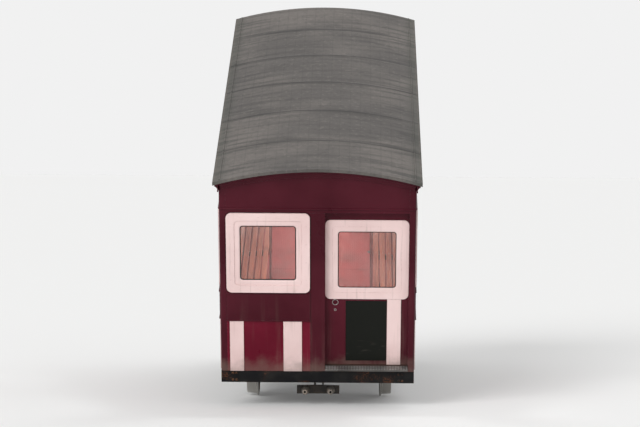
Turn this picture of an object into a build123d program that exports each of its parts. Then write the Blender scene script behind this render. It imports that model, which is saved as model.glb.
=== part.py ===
from build123d import *
from collections import namedtuple
import math
import os

# A funicular car on a wedge underframe, in millimetres. +Z is up and the cabin floor is level.
# The uphill end faces -Y. The origin lies on the plane of the rail heads, midway between the
# rails and midway between the axles. That plane falls towards +Y at INCLINE, so everything
# that follows the track is drawn on a level plane, with s down the slope and h above the rail
# heads, and then turned down by rail().

os.makedirs("parts", exist_ok=True)

# Track
INCLINE = 21.0
GAUGE = 1435.0
RAIL_HEAD_W = 70.0
FLANGE_PLAY = 9.0

# Wheelsets
WHEELBASE = 3500.0
TREAD_R = 250.0
TREAD_W = 105.0
TREAD_TAPER = 5.0
FLANGE_DEEP = 25.0
FLANGE_W = 30.0
RIM_T = 38.0
HUB_R = 104.0
HUB_LEN = 148.0
SPOKES = 8
SPOKE_HUB = (64.0, 44.0)
SPOKE_RIM = (44.0, 30.0)
SEAT_R = 62.0
SHAFT_R = 54.0
JOURNAL_R = 45.0
JOURNAL_CLEAR = 0.05
WHEEL_FIT = 0.02

# Axleboxes
BOX_GAP = 38.0
BOX_W = 104.0
BOX_R = 84.0
BOX_FOOT_S = 150.0
BOX_FOOT_T = 22.0
BOX_RIB = 16.0
COVER_R = 62.0
COVER_T = 14.0
COVER_CLEAR = 12.0

# Wedge underframe
BAR_W = 80.0
PLATE = 12.0
BEAM_GAP = 1.0
GIRDER_DEEP = 150.0
SILL_Z = 1250.0
SILL_DEEP = 140.0
POST_COUNT = 5
POST_W = 74.0
FIRST_POST_S = -1290.0
BRACE_W = 60.0
BRACE_T = 12.0
BRACE_IN = 66.0
GUSSET_T = 10.0
GUSSET_HALF = 125.0
GUSSET_UP = 150.0
CROSS_COUNT = 5
CROSS_W = 78.0
CROSS_PLATE = 10.0
FIRST_CROSS_S = -1300.0
LAST_CROSS_S = 2240.0
BEARER_COUNT = 9
BEARER_W = 64.0
BEARER_DEEP = 110.0
HEADSTOCK_T = 50.0
LOW_BEAM_T = 60.0
LOW_BEAM_IN = 51.5
LOW_BEAM_MORE = 22.0

# Buffers
BUFFER_X = 620.0
BUFFER_BASE = 190.0
BUFFER_R = 78.0
BUFFER_REACH = 64.0
PAD_R = 68.0
PAD_T = 46.0

# Draw gear
DRAW_H = 122.0
DRAW_DEEP = 64.0
DRAW_BAR_T = 16.0
DRAW_BAR_X = 46.0
DRAW_BEAM_S = -2470.0
DRAW_BEAM_HALF = 235.0
DRAW_BEAM_T = 72.0
DRAW_BEAM_DEEP = 92.0
DRAW_PIN_R = 17.0
ROPE_X = 140.0
ROPE_R = 13.0
SOCKET_R = 44.0
SOCKET_NECK_R = 25.0
SOCKET_LEN = 290.0
SOCKET_SEAT = 24.0

# Slipper brake
SLIP_S = -30.0
SLIP_LEN = 540.0
SLIP_W = 78.0
SLIP_T = 46.0
SLIP_RISE = 22.0
SLIP_LINK_S = 185.0
SLIP_LINK_W = 56.0
SLIP_LINK_T = 14.0
BRAKE_SHAFT_R = 22.0
BRAKE_SHAFT_H = 215.0
LEVER_UP = 105.0

# Cabin
BODY_HALF_W = 1050.0
BODY_HALF_L = 2600.0
WALL = 50.0
POST = 70.0
POST_ROUND = 24.0
FLOOR_T = 50.0
CENTRE_POST_W = 160.0
PANEL_TOP_Z = 1990.0
WAIST_Z = 2330.0
WINDOW_TOP_Z = 3260.0
EAVES_Z = 3600.0
SIDE_BAYS = 4
MULLION_W = 130.0

# Windows
FRAME_BAR = 88.0
FRAME_PROUD = 16.0
FRAME_ROUND = 58.0
FRAME_LAP = 44.0
FRAME_GAP = 2.0
GLASS_T = 8.0
GLASS_GAP = 1.0

# Outside trim
BAND_T = 9.0
BEAD_R = 8.0
STRIP_T = 8.0
SIDE_STRIP_W = 150.0
CORNER_STRIP_IN = 30.0
CORNER_STRIP_W = 150.0
CENTRE_STRIP_IN = 90.0
CENTRE_STRIP_W = 200.0

# Roof
ROOF_RISE = 160.0
ROOF_T = 35.0
ROOF_OVER_SIDE = 60.0
ROOF_OVER_END = 80.0
CORNICE_DEEP = 88.0
CORNICE_OUT = 40.0
CORNICE_LIP = 12.0

# Sliding end doors
DOOR_RUN_GAP = 7.0
DOOR_T = 36.0
DOOR_LAP_IN = 20.0
DOOR_LAP_OUT = 8.0
DOOR_LAP_TOP = 40.0
DOOR_FLOOR_GAP = 6.0
DOOR_DROP = 100.0
DOOR_FRAME_BAR = 76.0
DOOR_STILE_IN = 220.0
DOOR_STRIP_W = 150.0
DOOR_STRIP_OUT = 80.0
DOOR_RAIL = 40.0
DOOR_RECESS = 12.0
DOOR_PANEL_T = 9.0
PULL_R = 30.0
TRACK_T = 20.0
TRACK_OUT = 42.0
TRACK_GAP = 15.0
ROLLER_R = 26.0
ROLLER_W = 26.0
ROLLER_CLEAR = 0.4
HANGER_IN = 130.0
HANGER_W = 46.0
HANGER_EYE_R = 28.0
HANGER_T = 6.0
HANGER_DOWN = 130.0
GRIP_Z = 880.0
GRIP_LEN = 260.0
GRIP_R = 9.0
GRIP_POST_R = 6.5
GRIP_OUT = 34.0
SILL_PLATE_OUT = 60.0
SILL_PLATE_T = 8.0

# Benches, poles and lamps
SEAT_RISE = 450.0
SLAT_W = 62.0
SLAT_T = 22.0
SLAT_NOTCH = 4.0
BENCH_START = 180.0
BENCH_STOP = 1040.0
LEG_COUNT = 5
LEG_T = 28.0
LEG_IN = 60.0
LEG_FOOT = 66.0
LEG_TOP = 54.0
POLE_IN = 420.0
POLE_R = 17.0
POLE_FOOT_R = 42.0
POLE_FOOT_T = 8.0
MID_POLE_Y = -500.0
LAMP_FROM_END = 1300.0
LAMP_R = 105.0
LAMP_BASE_T = 20.0
LAMP_LIP = 8.0
LAMP_DROP = 62.0

Slat = namedtuple("Slat", "out up tilt")
SEAT_SLATS = [
    Slat(out=62.0, up=-24.0, tilt=8.0),
    Slat(out=138.0, up=-31.0, tilt=3.0),
    Slat(out=214.0, up=-31.0, tilt=-3.0),
    Slat(out=290.0, up=-24.0, tilt=-8.0),
    Slat(out=364.0, up=-14.0, tilt=-4.0),
]
BACK_SLATS = [
    Slat(out=38.0, up=105.0, tilt=82.0),
    Slat(out=28.0, up=205.0, tilt=84.0),
    Slat(out=20.0, up=305.0, tilt=86.0),
]

# Derived places
CUT = 5.0
SIN = math.sin(math.radians(INCLINE))
COS = math.cos(math.radians(INCLINE))
AXLE_S = WHEELBASE / 2
TREAD_X = GAUGE / 2 - FLANGE_PLAY
WHEEL_IN_X = TREAD_X - FLANGE_W
WHEEL_OUT_X = TREAD_X + TREAD_W
WHEEL_MID_X = (WHEEL_IN_X + WHEEL_OUT_X) / 2
RAIL_X = (GAUGE + RAIL_HEAD_W) / 2
BOX_IN_X = WHEEL_OUT_X + BOX_GAP
BOX_OUT_X = BOX_IN_X + BOX_W
FRAME_X = (BOX_IN_X + BOX_OUT_X) / 2
FRAME_IN_X = FRAME_X - BAR_W / 2
FRAME_OUT_X = FRAME_X + BAR_W / 2
GIRDER_LOW_H = TREAD_R + BOX_R
GIRDER_TOP_H = GIRDER_LOW_H + GIRDER_DEEP
SILL_TOP_Z = SILL_Z + SILL_DEEP
FLOOR_Z = SILL_TOP_Z + FLOOR_T
END_IN_Y = BODY_HALF_L - WALL
FRAME_END_Y = BODY_HALF_L - HEADSTOCK_T
SIDE_IN_X = BODY_HALF_W - WALL
POLE_X = SIDE_IN_X - POLE_IN
BAY_OUT_X = BODY_HALF_W - POST
BAY_IN_X = CENTRE_POST_W / 2
ROOF_HALF_W = BODY_HALF_W + ROOF_OVER_SIDE
ROOF_HALF_L = BODY_HALF_L + ROOF_OVER_END
ARCH_R = (ROOF_HALF_W ** 2 + ROOF_RISE ** 2) / (2 * ROOF_RISE)
ARCH_Z = EAVES_Z + ROOF_RISE - ARCH_R
ROOF_TOP_Z = EAVES_Z + ROOF_RISE + ROOF_T


def block(x0, x1, y0, y1, z0, z1):
    """A box from its limits."""
    return Pos((x0 + x1) / 2, (y0 + y1) / 2, (z0 + z1) / 2) * Box(x1 - x0, y1 - y0, z1 - z0)


def bar_x(radius, x0, x1, y, z):
    """A round bar along X."""
    return Pos((x0 + x1) / 2, y, z) * (Rot(Y=90) * Cylinder(radius, x1 - x0))


def bar_y(radius, y0, y1, x, z):
    """A round bar along Y."""
    return Pos(x, (y0 + y1) / 2, z) * (Rot(X=90) * Cylinder(radius, y1 - y0))


def plate_yz(points, x0, x1):
    """A plate with an outline of y and z, between two x."""
    face = Plane.YZ * make_face(Polyline(*points, close=True))
    return Pos(x0, 0, 0) * extrude(face, amount=x1 - x0)


def extrude_y(face, y0, y1):
    """A flat shape of x and z, carried from one y to another."""
    return Pos(0, y1, 0) * extrude(Plane.XZ * face, amount=y1 - y0)


def rounded(x0, x1, z0, z1, radius, y0, y1):
    """A slab in the XZ plane with rounded corners."""
    face = Pos((x0 + x1) / 2, (z0 + z1) / 2) * RectangleRounded(x1 - x0, z1 - z0, radius)
    return extrude_y(face, y0, y1)


def spin_x(points):
    """An outline of x and radius, turned about the X axis."""
    return revolve(make_face(Polyline(*points, close=True)), axis=Axis.X)


def rail(shape):
    """Turns a shape drawn over a level rail plane down onto the slope."""
    return Rot(X=-INCLINE) * shape


def rail_point(s, h):
    """The y and z of a place s down the slope and h above the rail heads."""
    return (s * COS + h * SIN, h * COS - s * SIN)


def slope_z(y, h):
    """The height at y of the plane that lies h above the rail heads."""
    return (h - y * SIN) / COS


def both_sides(shape):
    """A shape and its mirror in the car's middle plane."""
    return [shape, mirror(shape, about=Plane.YZ)]


def both_ends(shape):
    """A shape at the uphill end and the same shape turned round to the downhill end."""
    return [shape, Rot(Z=180) * shape]


def on_end(shape):
    """Moves a shape drawn on the XZ plane, outside towards -Y, to the uphill end's outside."""
    return Pos(0, -BODY_HALF_L, 0) * shape


def on_side(shape, y):
    """Moves such a shape to the right-hand wall's outside, centred on y."""
    return Pos(BODY_HALF_W, y, 0) * (Rot(Z=90) * shape)


def spread(first, last, count):
    """Places at equal steps from first to last."""
    return [first + (last - first) * k / (count - 1) for k in range(count)]


def save(name, shapes):
    """Writes one node, each of its solids kept apart."""
    solids = [solid for shape in shapes for solid in shape.solids()]
    export_step(Compound(children=solids), "parts/" + name + ".step")


# Wheelsets


def wheel():
    """A right-hand spoked wheel about the X axis, its flange towards the middle of the car."""
    rim_r = TREAD_R - RIM_T
    flange_r = TREAD_R + FLANGE_DEEP
    rim = spin_x([
        (WHEEL_IN_X, rim_r),
        (WHEEL_IN_X, flange_r - 9),
        (WHEEL_IN_X + 7, flange_r - 1),
        (WHEEL_IN_X + 14, flange_r),
        (WHEEL_IN_X + 22, flange_r - 5),
        (TREAD_X - 2, TREAD_R + 6),
        (TREAD_X + 8, TREAD_R),
        (WHEEL_OUT_X - 7, TREAD_R - TREAD_TAPER),
        (WHEEL_OUT_X, TREAD_R - TREAD_TAPER - 7),
        (WHEEL_OUT_X, rim_r + 6),
        (WHEEL_OUT_X - 6, rim_r),
    ])
    half = HUB_LEN / 2
    hub = spin_x([
        (WHEEL_MID_X - half, SEAT_R + WHEEL_FIT),
        (WHEEL_MID_X - half, HUB_R - 18),
        (WHEEL_MID_X - half + 8, HUB_R - 10),
        (WHEEL_MID_X - 34, HUB_R),
        (WHEEL_MID_X + 34, HUB_R),
        (WHEEL_MID_X + half - 8, HUB_R - 10),
        (WHEEL_MID_X + half, HUB_R - 18),
        (WHEEL_MID_X + half, SEAT_R + WHEEL_FIT),
    ])
    low = Plane.XY.offset(HUB_R - 12) * Rectangle(SPOKE_HUB[1], SPOKE_HUB[0])
    high = Plane.XY.offset(rim_r + 6) * Rectangle(SPOKE_RIM[1], SPOKE_RIM[0])
    spoke = Pos(WHEEL_MID_X, 0, 0) * loft([low, high])
    shape = rim + hub
    for k in range(SPOKES):
        shape += Rot(X=360 / SPOKES * k) * spoke
    return shape


def axle():
    """Journals outside the wheels, wider wheel seats and a waisted shaft between them."""
    end = BOX_OUT_X - COVER_CLEAR
    seat_out = WHEEL_MID_X + HUB_LEN / 2 + 2
    seat_in = WHEEL_MID_X - HUB_LEN / 2 - 14
    half = [
        (end, 0),
        (end, JOURNAL_R - 4),
        (end - 4, JOURNAL_R),
        (seat_out, JOURNAL_R),
        (seat_out, SEAT_R),
        (seat_in, SEAT_R),
        (seat_in - 60, SHAFT_R),
    ]
    return spin_x(half + [(-x, r) for x, r in reversed(half)])


for end_name, s in (("uphill", -AXLE_S), ("downhill", AXLE_S)):
    place = Pos(0, *rail_point(s, TREAD_R))
    save("axle_" + end_name, [place * axle()])
    save("wheels_" + end_name, [place * one for one in both_sides(wheel())])


def axlebox(s):
    """A cast box whose round barrel holds the journal and whose foot bolts under the girder."""
    barrel = bar_x(BOX_R, BOX_IN_X, BOX_OUT_X, 0, TREAD_R)
    neck = block(BOX_IN_X, BOX_OUT_X, -BOX_R, BOX_R, TREAD_R, GIRDER_LOW_H)
    foot = block(BOX_IN_X, BOX_OUT_X, -BOX_FOOT_S, BOX_FOOT_S, GIRDER_LOW_H - BOX_FOOT_T, GIRDER_LOW_H)
    rib = plate_yz(
        [
            (-BOX_FOOT_S + 10, GIRDER_LOW_H - BOX_FOOT_T),
            (-BOX_R, TREAD_R),
            (BOX_R, TREAD_R),
            (BOX_FOOT_S - 10, GIRDER_LOW_H - BOX_FOOT_T),
        ],
        FRAME_X - BOX_RIB / 2,
        FRAME_X + BOX_RIB / 2,
    )
    cover = bar_x(COVER_R, BOX_OUT_X, BOX_OUT_X + COVER_T, 0, TREAD_R)
    bore = bar_x(JOURNAL_R + JOURNAL_CLEAR, BOX_IN_X - CUT, BOX_OUT_X - COVER_CLEAR / 2, 0, TREAD_R)
    return rail(Pos(0, s, 0) * (barrel + neck + foot + rib + cover - bore))


boxes = []
for s in (-AXLE_S, AXLE_S):
    boxes += both_sides(axlebox(s))
save("axleboxes", boxes)

# Wedge underframe


def i_section(width, deep, t):
    """A rolled beam's section, centred across and standing on zero."""
    web = Pos(0, deep / 2) * Rectangle(t, deep)
    low = Pos(0, t / 2) * Rectangle(width, t)
    top = Pos(0, deep - t / 2) * Rectangle(width, t)
    return low + web + top


def beam_y(width, deep, t, y0, y1, x, z):
    """A rolled beam along Y, its underside at z."""
    return Pos(x, 0, z) * extrude_y(i_section(width, deep, t), y0, y1)


def rail_girder():
    """The inclined girder, cut plumb at its foot and level under the sole bar."""
    far = 2 * BODY_HALF_L
    long_beam = rail(beam_y(BAR_W, GIRDER_DEEP, PLATE, -far, far, FRAME_X, GIRDER_LOW_H))
    keep = block(FRAME_IN_X - CUT, FRAME_OUT_X + CUT, -far, BODY_HALF_L, -far, SILL_Z)
    return long_beam & keep


def frame_post(y):
    """An H-section post whose foot follows the girder's slope."""
    z0 = slope_z(y + POST_W / 2, GIRDER_TOP_H) - CUT
    section = Rot(Z=90) * (Pos(0, -BAR_W / 2) * i_section(POST_W, BAR_W, PLATE))
    tall = Pos(FRAME_X, y, z0) * extrude(section, amount=SILL_Z - z0)
    deep = 4 * POST_W
    below = block(FRAME_IN_X - CUT, FRAME_OUT_X + CUT, -deep, deep, -deep, 0)
    place = Pos(0, y, slope_z(y, GIRDER_TOP_H))
    return tall - place * rail(below)


def brace(y0, y1):
    """A flat bar from under the sole bar at one post to above the girder at the next."""
    high = (y0, SILL_Z - BRACE_IN)
    low = (y1, slope_z(y1, GIRDER_TOP_H) + BRACE_IN)
    run = math.dist(high, low)
    turn = math.degrees(math.atan2(low[1] - high[1], low[0] - high[0]))
    bar = block(FRAME_IN_X - BRACE_T, FRAME_IN_X, 0, run, -BRACE_W / 2, BRACE_W / 2)
    return Pos(0, *high) * (Rot(X=turn) * bar)


def foot_gusset(y):
    """A plate over the joint of a post and the girder, on the outside."""
    base = [(side, slope_z(side, GIRDER_LOW_H + PLATE)) for side in (y + GUSSET_HALF, y - GUSSET_HALF)]
    base[0] = (min(base[0][0], BODY_HALF_L), slope_z(min(base[0][0], BODY_HALF_L), GIRDER_LOW_H + PLATE))
    top_z = slope_z(y, GIRDER_TOP_H) + GUSSET_UP
    points = base + [
        (y - GUSSET_HALF, slope_z(y - GUSSET_HALF, GIRDER_TOP_H)),
        (y - POST_W / 2, top_z),
        (y + POST_W / 2, top_z),
        (base[0][0], slope_z(base[0][0], GIRDER_TOP_H)),
    ]
    return plate_yz(points, FRAME_OUT_X, FRAME_OUT_X + GUSSET_T)


def head_gusset(y):
    """A plate over the joint of a post and the sole bar, on the outside."""
    right = min(y + GUSSET_HALF, FRAME_END_Y)
    points = [
        (y - GUSSET_HALF, SILL_Z + SILL_DEEP / 2),
        (y - GUSSET_HALF, SILL_Z),
        (y - POST_W / 2, SILL_Z - GUSSET_UP),
        (y + POST_W / 2, SILL_Z - GUSSET_UP),
        (right, SILL_Z),
        (right, SILL_Z + SILL_DEEP / 2),
    ]
    return plate_yz(points, FRAME_OUT_X, FRAME_OUT_X + GUSSET_T)


def nose_plate():
    """The plate that ties the girder's cut end to the sole bar."""
    y_low = (GIRDER_LOW_H - SILL_Z * COS) / SIN
    y_top = (GIRDER_TOP_H - SILL_Z * COS) / SIN
    reach = 1.4 * GUSSET_UP
    points = [
        (y_low - reach, SILL_Z + PLATE),
        (y_low - reach, SILL_TOP_Z - PLATE),
        (y_top + reach, SILL_TOP_Z - PLATE),
        (y_top + reach, slope_z(y_top + reach, GIRDER_LOW_H + PLATE)),
        (y_low, slope_z(y_low, GIRDER_LOW_H + PLATE)),
    ]
    return plate_yz(points, FRAME_OUT_X, FRAME_OUT_X + GUSSET_T)


def cross_member(s):
    """A rolled beam across the car between the rail girders, with a plate at each end."""
    half = FRAME_IN_X - CROSS_PLATE
    section = i_section(CROSS_W, GIRDER_DEEP, PLATE)
    beam = Pos(-half, 0, 0) * extrude(Plane.YZ * section, amount=2 * half)
    ends = both_sides(block(half, FRAME_IN_X, -CROSS_W, CROSS_W, 0, GIRDER_DEEP))
    return rail(Pos(0, s, GIRDER_LOW_H) * (beam + ends[0] + ends[1]))


def floor_bearer(y):
    """A channel under the floor, from one sole bar to the other."""
    z0 = SILL_TOP_Z - BEARER_DEEP
    web = block(-FRAME_IN_X, FRAME_IN_X, y - BEARER_W / 2, y - BEARER_W / 2 + PLATE, z0, SILL_TOP_Z)
    top = block(-FRAME_IN_X, FRAME_IN_X, y - BEARER_W / 2, y + BEARER_W / 2, SILL_TOP_Z - PLATE, SILL_TOP_Z)
    low = block(-FRAME_IN_X, FRAME_IN_X, y - BEARER_W / 2, y + BEARER_W / 2, z0, z0 + PLATE)
    return web + top + low


def headstock():
    """The uphill end's channel across the floor frame, the black sill of the photo."""
    web = block(-BODY_HALF_W, BODY_HALF_W, -BODY_HALF_L, -BODY_HALF_L + PLATE, SILL_Z, SILL_TOP_Z)
    low = block(-BODY_HALF_W, BODY_HALF_W, -BODY_HALF_L, -FRAME_END_Y, SILL_Z, SILL_Z + PLATE)
    top = block(-BODY_HALF_W, BODY_HALF_W, -BODY_HALF_L, -FRAME_END_Y, SILL_TOP_Z - PLATE, SILL_TOP_Z)
    return web + low + top


FIRST_POST_Y = rail_point(FIRST_POST_S, GIRDER_TOP_H)[0]
LAST_POST_Y = BODY_HALF_L - POST_W / 2
POST_YS = spread(FIRST_POST_Y, LAST_POST_Y, POST_COUNT)
CROSS_SS = spread(FIRST_CROSS_S, LAST_CROSS_S, CROSS_COUNT)
BEARER_END = FRAME_END_Y - BEARER_W
LOW_BEAM_Z0 = slope_z(BODY_HALF_L, GIRDER_LOW_H) - LOW_BEAM_MORE
LOW_BEAM_Z1 = slope_z(BODY_HALF_L, GIRDER_TOP_H) + LOW_BEAM_MORE
LOW_BEAM_X = BODY_HALF_W - LOW_BEAM_IN

save("sole_bars", both_sides(beam_y(BAR_W, SILL_DEEP, PLATE, -FRAME_END_Y, FRAME_END_Y, FRAME_X, SILL_Z)))
save("rail_girders", both_sides(rail_girder()))
posts = []
gussets = both_sides(nose_plate())
for y in POST_YS:
    posts += both_sides(frame_post(y))
    gussets += both_sides(foot_gusset(y))
    gussets += both_sides(head_gusset(y))
save("frame_posts", posts)
save("frame_gussets", gussets)
braces = []
for y0, y1 in zip(POST_YS, POST_YS[1:]):
    braces += both_sides(brace(y0, y1))
save("frame_braces", braces)
save("cross_members", [cross_member(s) for s in CROSS_SS])
save("floor_bearers", [floor_bearer(y) for y in spread(-BEARER_END, BEARER_END, BEARER_COUNT)])
low_web = block(-LOW_BEAM_X, LOW_BEAM_X, BODY_HALF_L, BODY_HALF_L + PLATE, LOW_BEAM_Z0, LOW_BEAM_Z1)
low_top = block(
    -LOW_BEAM_X, LOW_BEAM_X, BODY_HALF_L, BODY_HALF_L + LOW_BEAM_T, LOW_BEAM_Z1 - PLATE, LOW_BEAM_Z1
)
low_foot = block(
    -LOW_BEAM_X, LOW_BEAM_X, BODY_HALF_L, BODY_HALF_L + LOW_BEAM_T, LOW_BEAM_Z0, LOW_BEAM_Z0 + PLATE
)
save("headstocks", both_ends(headstock()) + [low_web + low_top + low_foot])

# Buffers on the lower beam
BUFFER_Z = (LOW_BEAM_Z0 + LOW_BEAM_Z1) / 2
BUFFER_Y = BODY_HALF_L + LOW_BEAM_T


def buffer():
    """A cast housing that fills the beam's channel and tapers to the pad."""
    inner = LOW_BEAM_Z1 - LOW_BEAM_Z0 - 2 * PLATE
    root = block(
        BUFFER_X - BUFFER_BASE / 2, BUFFER_X + BUFFER_BASE / 2, BODY_HALF_L + PLATE, BUFFER_Y,
        BUFFER_Z - inner / 2, BUFFER_Z + inner / 2,
    )
    cone = Rot(X=-90) * Cone(BUFFER_R + 14, BUFFER_R, BUFFER_REACH)
    return root + Pos(BUFFER_X, BUFFER_Y + BUFFER_REACH / 2, BUFFER_Z) * cone


def buffer_pad():
    """The rubber pad on the housing."""
    y0 = BUFFER_Y + BUFFER_REACH
    pad = bar_y(PAD_R, y0, y0 + PAD_T, BUFFER_X, BUFFER_Z)
    rim = pad.faces().sort_by(Axis.Y)[-1].edges()
    return chamfer(rim, 8)


save("buffers", both_sides(buffer()))
save("buffer_pads", both_sides(buffer_pad()))

# Draw gear under the uphill end
HANGER_S = CROSS_SS[0]
BEAM_BACK_S = DRAW_BEAM_S + DRAW_BEAM_T / 2
BEAM_FRONT_S = DRAW_BEAM_S - DRAW_BEAM_T / 2
DRAW_IN_X = DRAW_BAR_X - DRAW_BAR_T / 2
DRAW_OUT_X = DRAW_BAR_X + DRAW_BAR_T / 2


def draw_hanger():
    """A tapered plate that hangs from the first cross member and takes the draw bar's pin."""
    top = CROSS_W
    points = [
        (HANGER_S - top, GIRDER_LOW_H),
        (HANGER_S + top, GIRDER_LOW_H),
        (HANGER_S + DRAW_DEEP / 2, DRAW_H - DRAW_DEEP / 2),
        (HANGER_S - DRAW_DEEP / 2, DRAW_H - DRAW_DEEP / 2),
    ]
    plate = plate_yz(points, DRAW_OUT_X, DRAW_OUT_X + DRAW_BAR_T)
    hole = bar_x(DRAW_PIN_R, DRAW_OUT_X - CUT, DRAW_OUT_X + DRAW_BAR_T + CUT, HANGER_S, DRAW_H)
    return rail(plate - hole)


def draw_bar():
    """A flat bar from the hangers to the draw beam, under the uphill axle."""
    end_s = HANGER_S + DRAW_DEEP / 2
    bar = block(DRAW_IN_X, DRAW_OUT_X, BEAM_BACK_S, end_s, DRAW_H - DRAW_DEEP / 2, DRAW_H + DRAW_DEEP / 2)
    hole = bar_x(DRAW_PIN_R, DRAW_IN_X - CUT, DRAW_OUT_X + CUT, HANGER_S, DRAW_H)
    return rail(bar - hole)


def draw_pin():
    """The pin through both hangers and both bars, with a head at each end."""
    out = DRAW_OUT_X + DRAW_BAR_T
    pin = bar_x(DRAW_PIN_R - WHEEL_FIT, -out - 10, out + 10, HANGER_S, DRAW_H)
    heads = both_sides(bar_x(DRAW_PIN_R + 9, out, out + 10, HANGER_S, DRAW_H))
    return rail(pin + heads[0] + heads[1])


def draw_beam():
    """The cross beam that the two ropes pull on, tapered to its ends."""
    deep = DRAW_BEAM_DEEP / 2
    outline = [
        (-DRAW_BEAM_HALF, BEAM_FRONT_S),
        (DRAW_BEAM_HALF, BEAM_FRONT_S),
        (DRAW_BEAM_HALF, DRAW_BEAM_S),
        (DRAW_OUT_X + 40, BEAM_BACK_S),
        (-DRAW_OUT_X - 40, BEAM_BACK_S),
        (-DRAW_BEAM_HALF, DRAW_BEAM_S),
    ]
    face = make_face(Polyline(*outline, close=True))
    shape = Pos(0, 0, DRAW_H - deep) * extrude(face, amount=2 * deep)
    for x in (-ROPE_X, ROPE_X):
        shape -= bar_y(SOCKET_R, BEAM_FRONT_S - CUT, BEAM_FRONT_S + SOCKET_SEAT, x, DRAW_H)
    return rail(shape)


def rope_socket():
    """A forged socket seated in the draw beam, its bore open towards the rope."""
    root = bar_y(SOCKET_R - WHEEL_FIT, BEAM_FRONT_S, BEAM_FRONT_S + SOCKET_SEAT, 0, 0)
    cone = Rot(X=90) * Cone(SOCKET_R, SOCKET_NECK_R, SOCKET_LEN)
    cone = Pos(0, BEAM_FRONT_S - SOCKET_LEN / 2, 0) * cone
    bore = bar_y(ROPE_R, BEAM_FRONT_S - SOCKET_LEN - CUT, BEAM_FRONT_S - 20, 0, 0)
    return rail(Pos(ROPE_X, 0, DRAW_H) * (root + cone - bore))


save("draw_hangers", both_sides(draw_hanger()))
save("draw_bars", both_sides(draw_bar()) + [draw_pin()])
save("draw_beam", [draw_beam()])
save("rope_sockets", both_sides(rope_socket()))

# Slipper brake over the rails
SLIP_TOP_H = SLIP_RISE + SLIP_T
LINK_IN_X = RAIL_X + SLIP_W / 2
LINK_OUT_X = LINK_IN_X + SLIP_LINK_T


def slipper():
    """A shoe that hangs just over the rail head, turned up at both ends."""
    half = SLIP_LEN / 2
    points = [
        (SLIP_S - half, SLIP_TOP_H),
        (SLIP_S - half, SLIP_RISE + 20),
        (SLIP_S - half + 50, SLIP_RISE),
        (SLIP_S + half - 50, SLIP_RISE),
        (SLIP_S + half, SLIP_RISE + 20),
        (SLIP_S + half, SLIP_TOP_H),
    ]
    shoe = plate_yz(points, RAIL_X - SLIP_W / 2, RAIL_X + SLIP_W / 2)
    rib = block(RAIL_X - 12, RAIL_X + 12, SLIP_S - half + 40, SLIP_S + half - 40, SLIP_TOP_H, SLIP_TOP_H + 26)
    return rail(shoe + rib)


def slipper_link(s):
    """A link from the shoe's side up to a bracket on the rail girder's web."""
    w = SLIP_LINK_W / 2
    link = block(LINK_IN_X, LINK_OUT_X, s - w, s + w, SLIP_RISE + 8, GIRDER_LOW_H + GIRDER_DEEP / 2)
    h0 = GIRDER_LOW_H + PLATE + 8
    arm = block(LINK_OUT_X, FRAME_X - PLATE / 2, s - w, s + w, h0, GIRDER_LOW_H + GIRDER_DEEP / 2)
    return rail(link + arm)


def brake_shaft():
    """The shaft across the car that joins the two sides' links."""
    s = SLIP_S - SLIP_LINK_S
    shaft = bar_x(BRAKE_SHAFT_R, -LINK_IN_X, LINK_IN_X, s, BRAKE_SHAFT_H)
    lever = plate_yz(
        [
            (s - 30, BRAKE_SHAFT_H - 30),
            (s + 30, BRAKE_SHAFT_H - 30),
            (s + 18, BRAKE_SHAFT_H + LEVER_UP),
            (s - 18, BRAKE_SHAFT_H + LEVER_UP),
        ],
        -8,
        8,
    )
    return rail(shaft + lever)


rigging = [brake_shaft()]
for s in (SLIP_S - SLIP_LINK_S, SLIP_S + SLIP_LINK_S):
    rigging += both_sides(slipper_link(s))
save("brake_slippers", both_sides(slipper()))
save("brake_rigging", rigging)

# Floor and walls
FRAME_Z0 = WAIST_Z + FRAME_GAP
FRAME_Z1 = WINDOW_TOP_Z - FRAME_GAP
OPEN_Z0 = FRAME_Z0 + FRAME_LAP
OPEN_Z1 = FRAME_Z1 - FRAME_LAP
OPEN_ROUND = FRAME_ROUND - 20
BAY = 2 * END_IN_Y / SIDE_BAYS
SIDE_FRAME_HALF = (BAY - MULLION_W) / 2
BAY_YS = [-END_IN_Y + BAY * (k + 0.5) for k in range(SIDE_BAYS)]
END_FRAME = (-BAY_OUT_X + FRAME_GAP, -BAY_IN_X - FRAME_GAP)


def arch_prism(radius, y0, y1):
    """Everything under an arc about the roof's centre, between two stations."""
    half = ROOF_HALF_W + ROOF_OVER_SIDE
    side_z = ARCH_Z + math.sqrt(radius ** 2 - half ** 2)
    arc = ThreePointArc((-half, side_z), (0, ARCH_Z + radius), (half, side_z))
    base_z = FLOOR_Z - CUT - FLOOR_T
    rest = Polyline((half, side_z), (half, base_z), (-half, base_z), (-half, side_z))
    return extrude_y(make_face(Curve() + arc + rest), y0, y1)


def under_roof(shape):
    """Trims a wall, post or pole to the underside of the roof."""
    return shape & arch_prism(ARCH_R, -ROOF_HALF_L, ROOF_HALF_L)


def opening(u0, u1):
    """The hole that a window frame covers, cut through a wall drawn on the XZ plane."""
    return rounded(u0 + FRAME_LAP, u1 - FRAME_LAP, OPEN_Z0, OPEN_Z1, OPEN_ROUND, -CUT, WALL + CUT)


def side_upper():
    """The wall over the waist with a hole for each window, trimmed under the roof."""
    wall = block(SIDE_IN_X, BODY_HALF_W, -END_IN_Y, END_IN_Y, WAIST_Z, ROOF_TOP_Z)
    for y in BAY_YS:
        wall -= on_side(opening(-SIDE_FRAME_HALF, SIDE_FRAME_HALF), y)
    return under_roof(wall)


def end_upper():
    """The wall round the fixed window beside the door."""
    wall = block(-BAY_OUT_X, -BAY_IN_X, 0, WALL, WAIST_Z, WINDOW_TOP_Z)
    return on_end(wall - opening(*END_FRAME))


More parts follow.
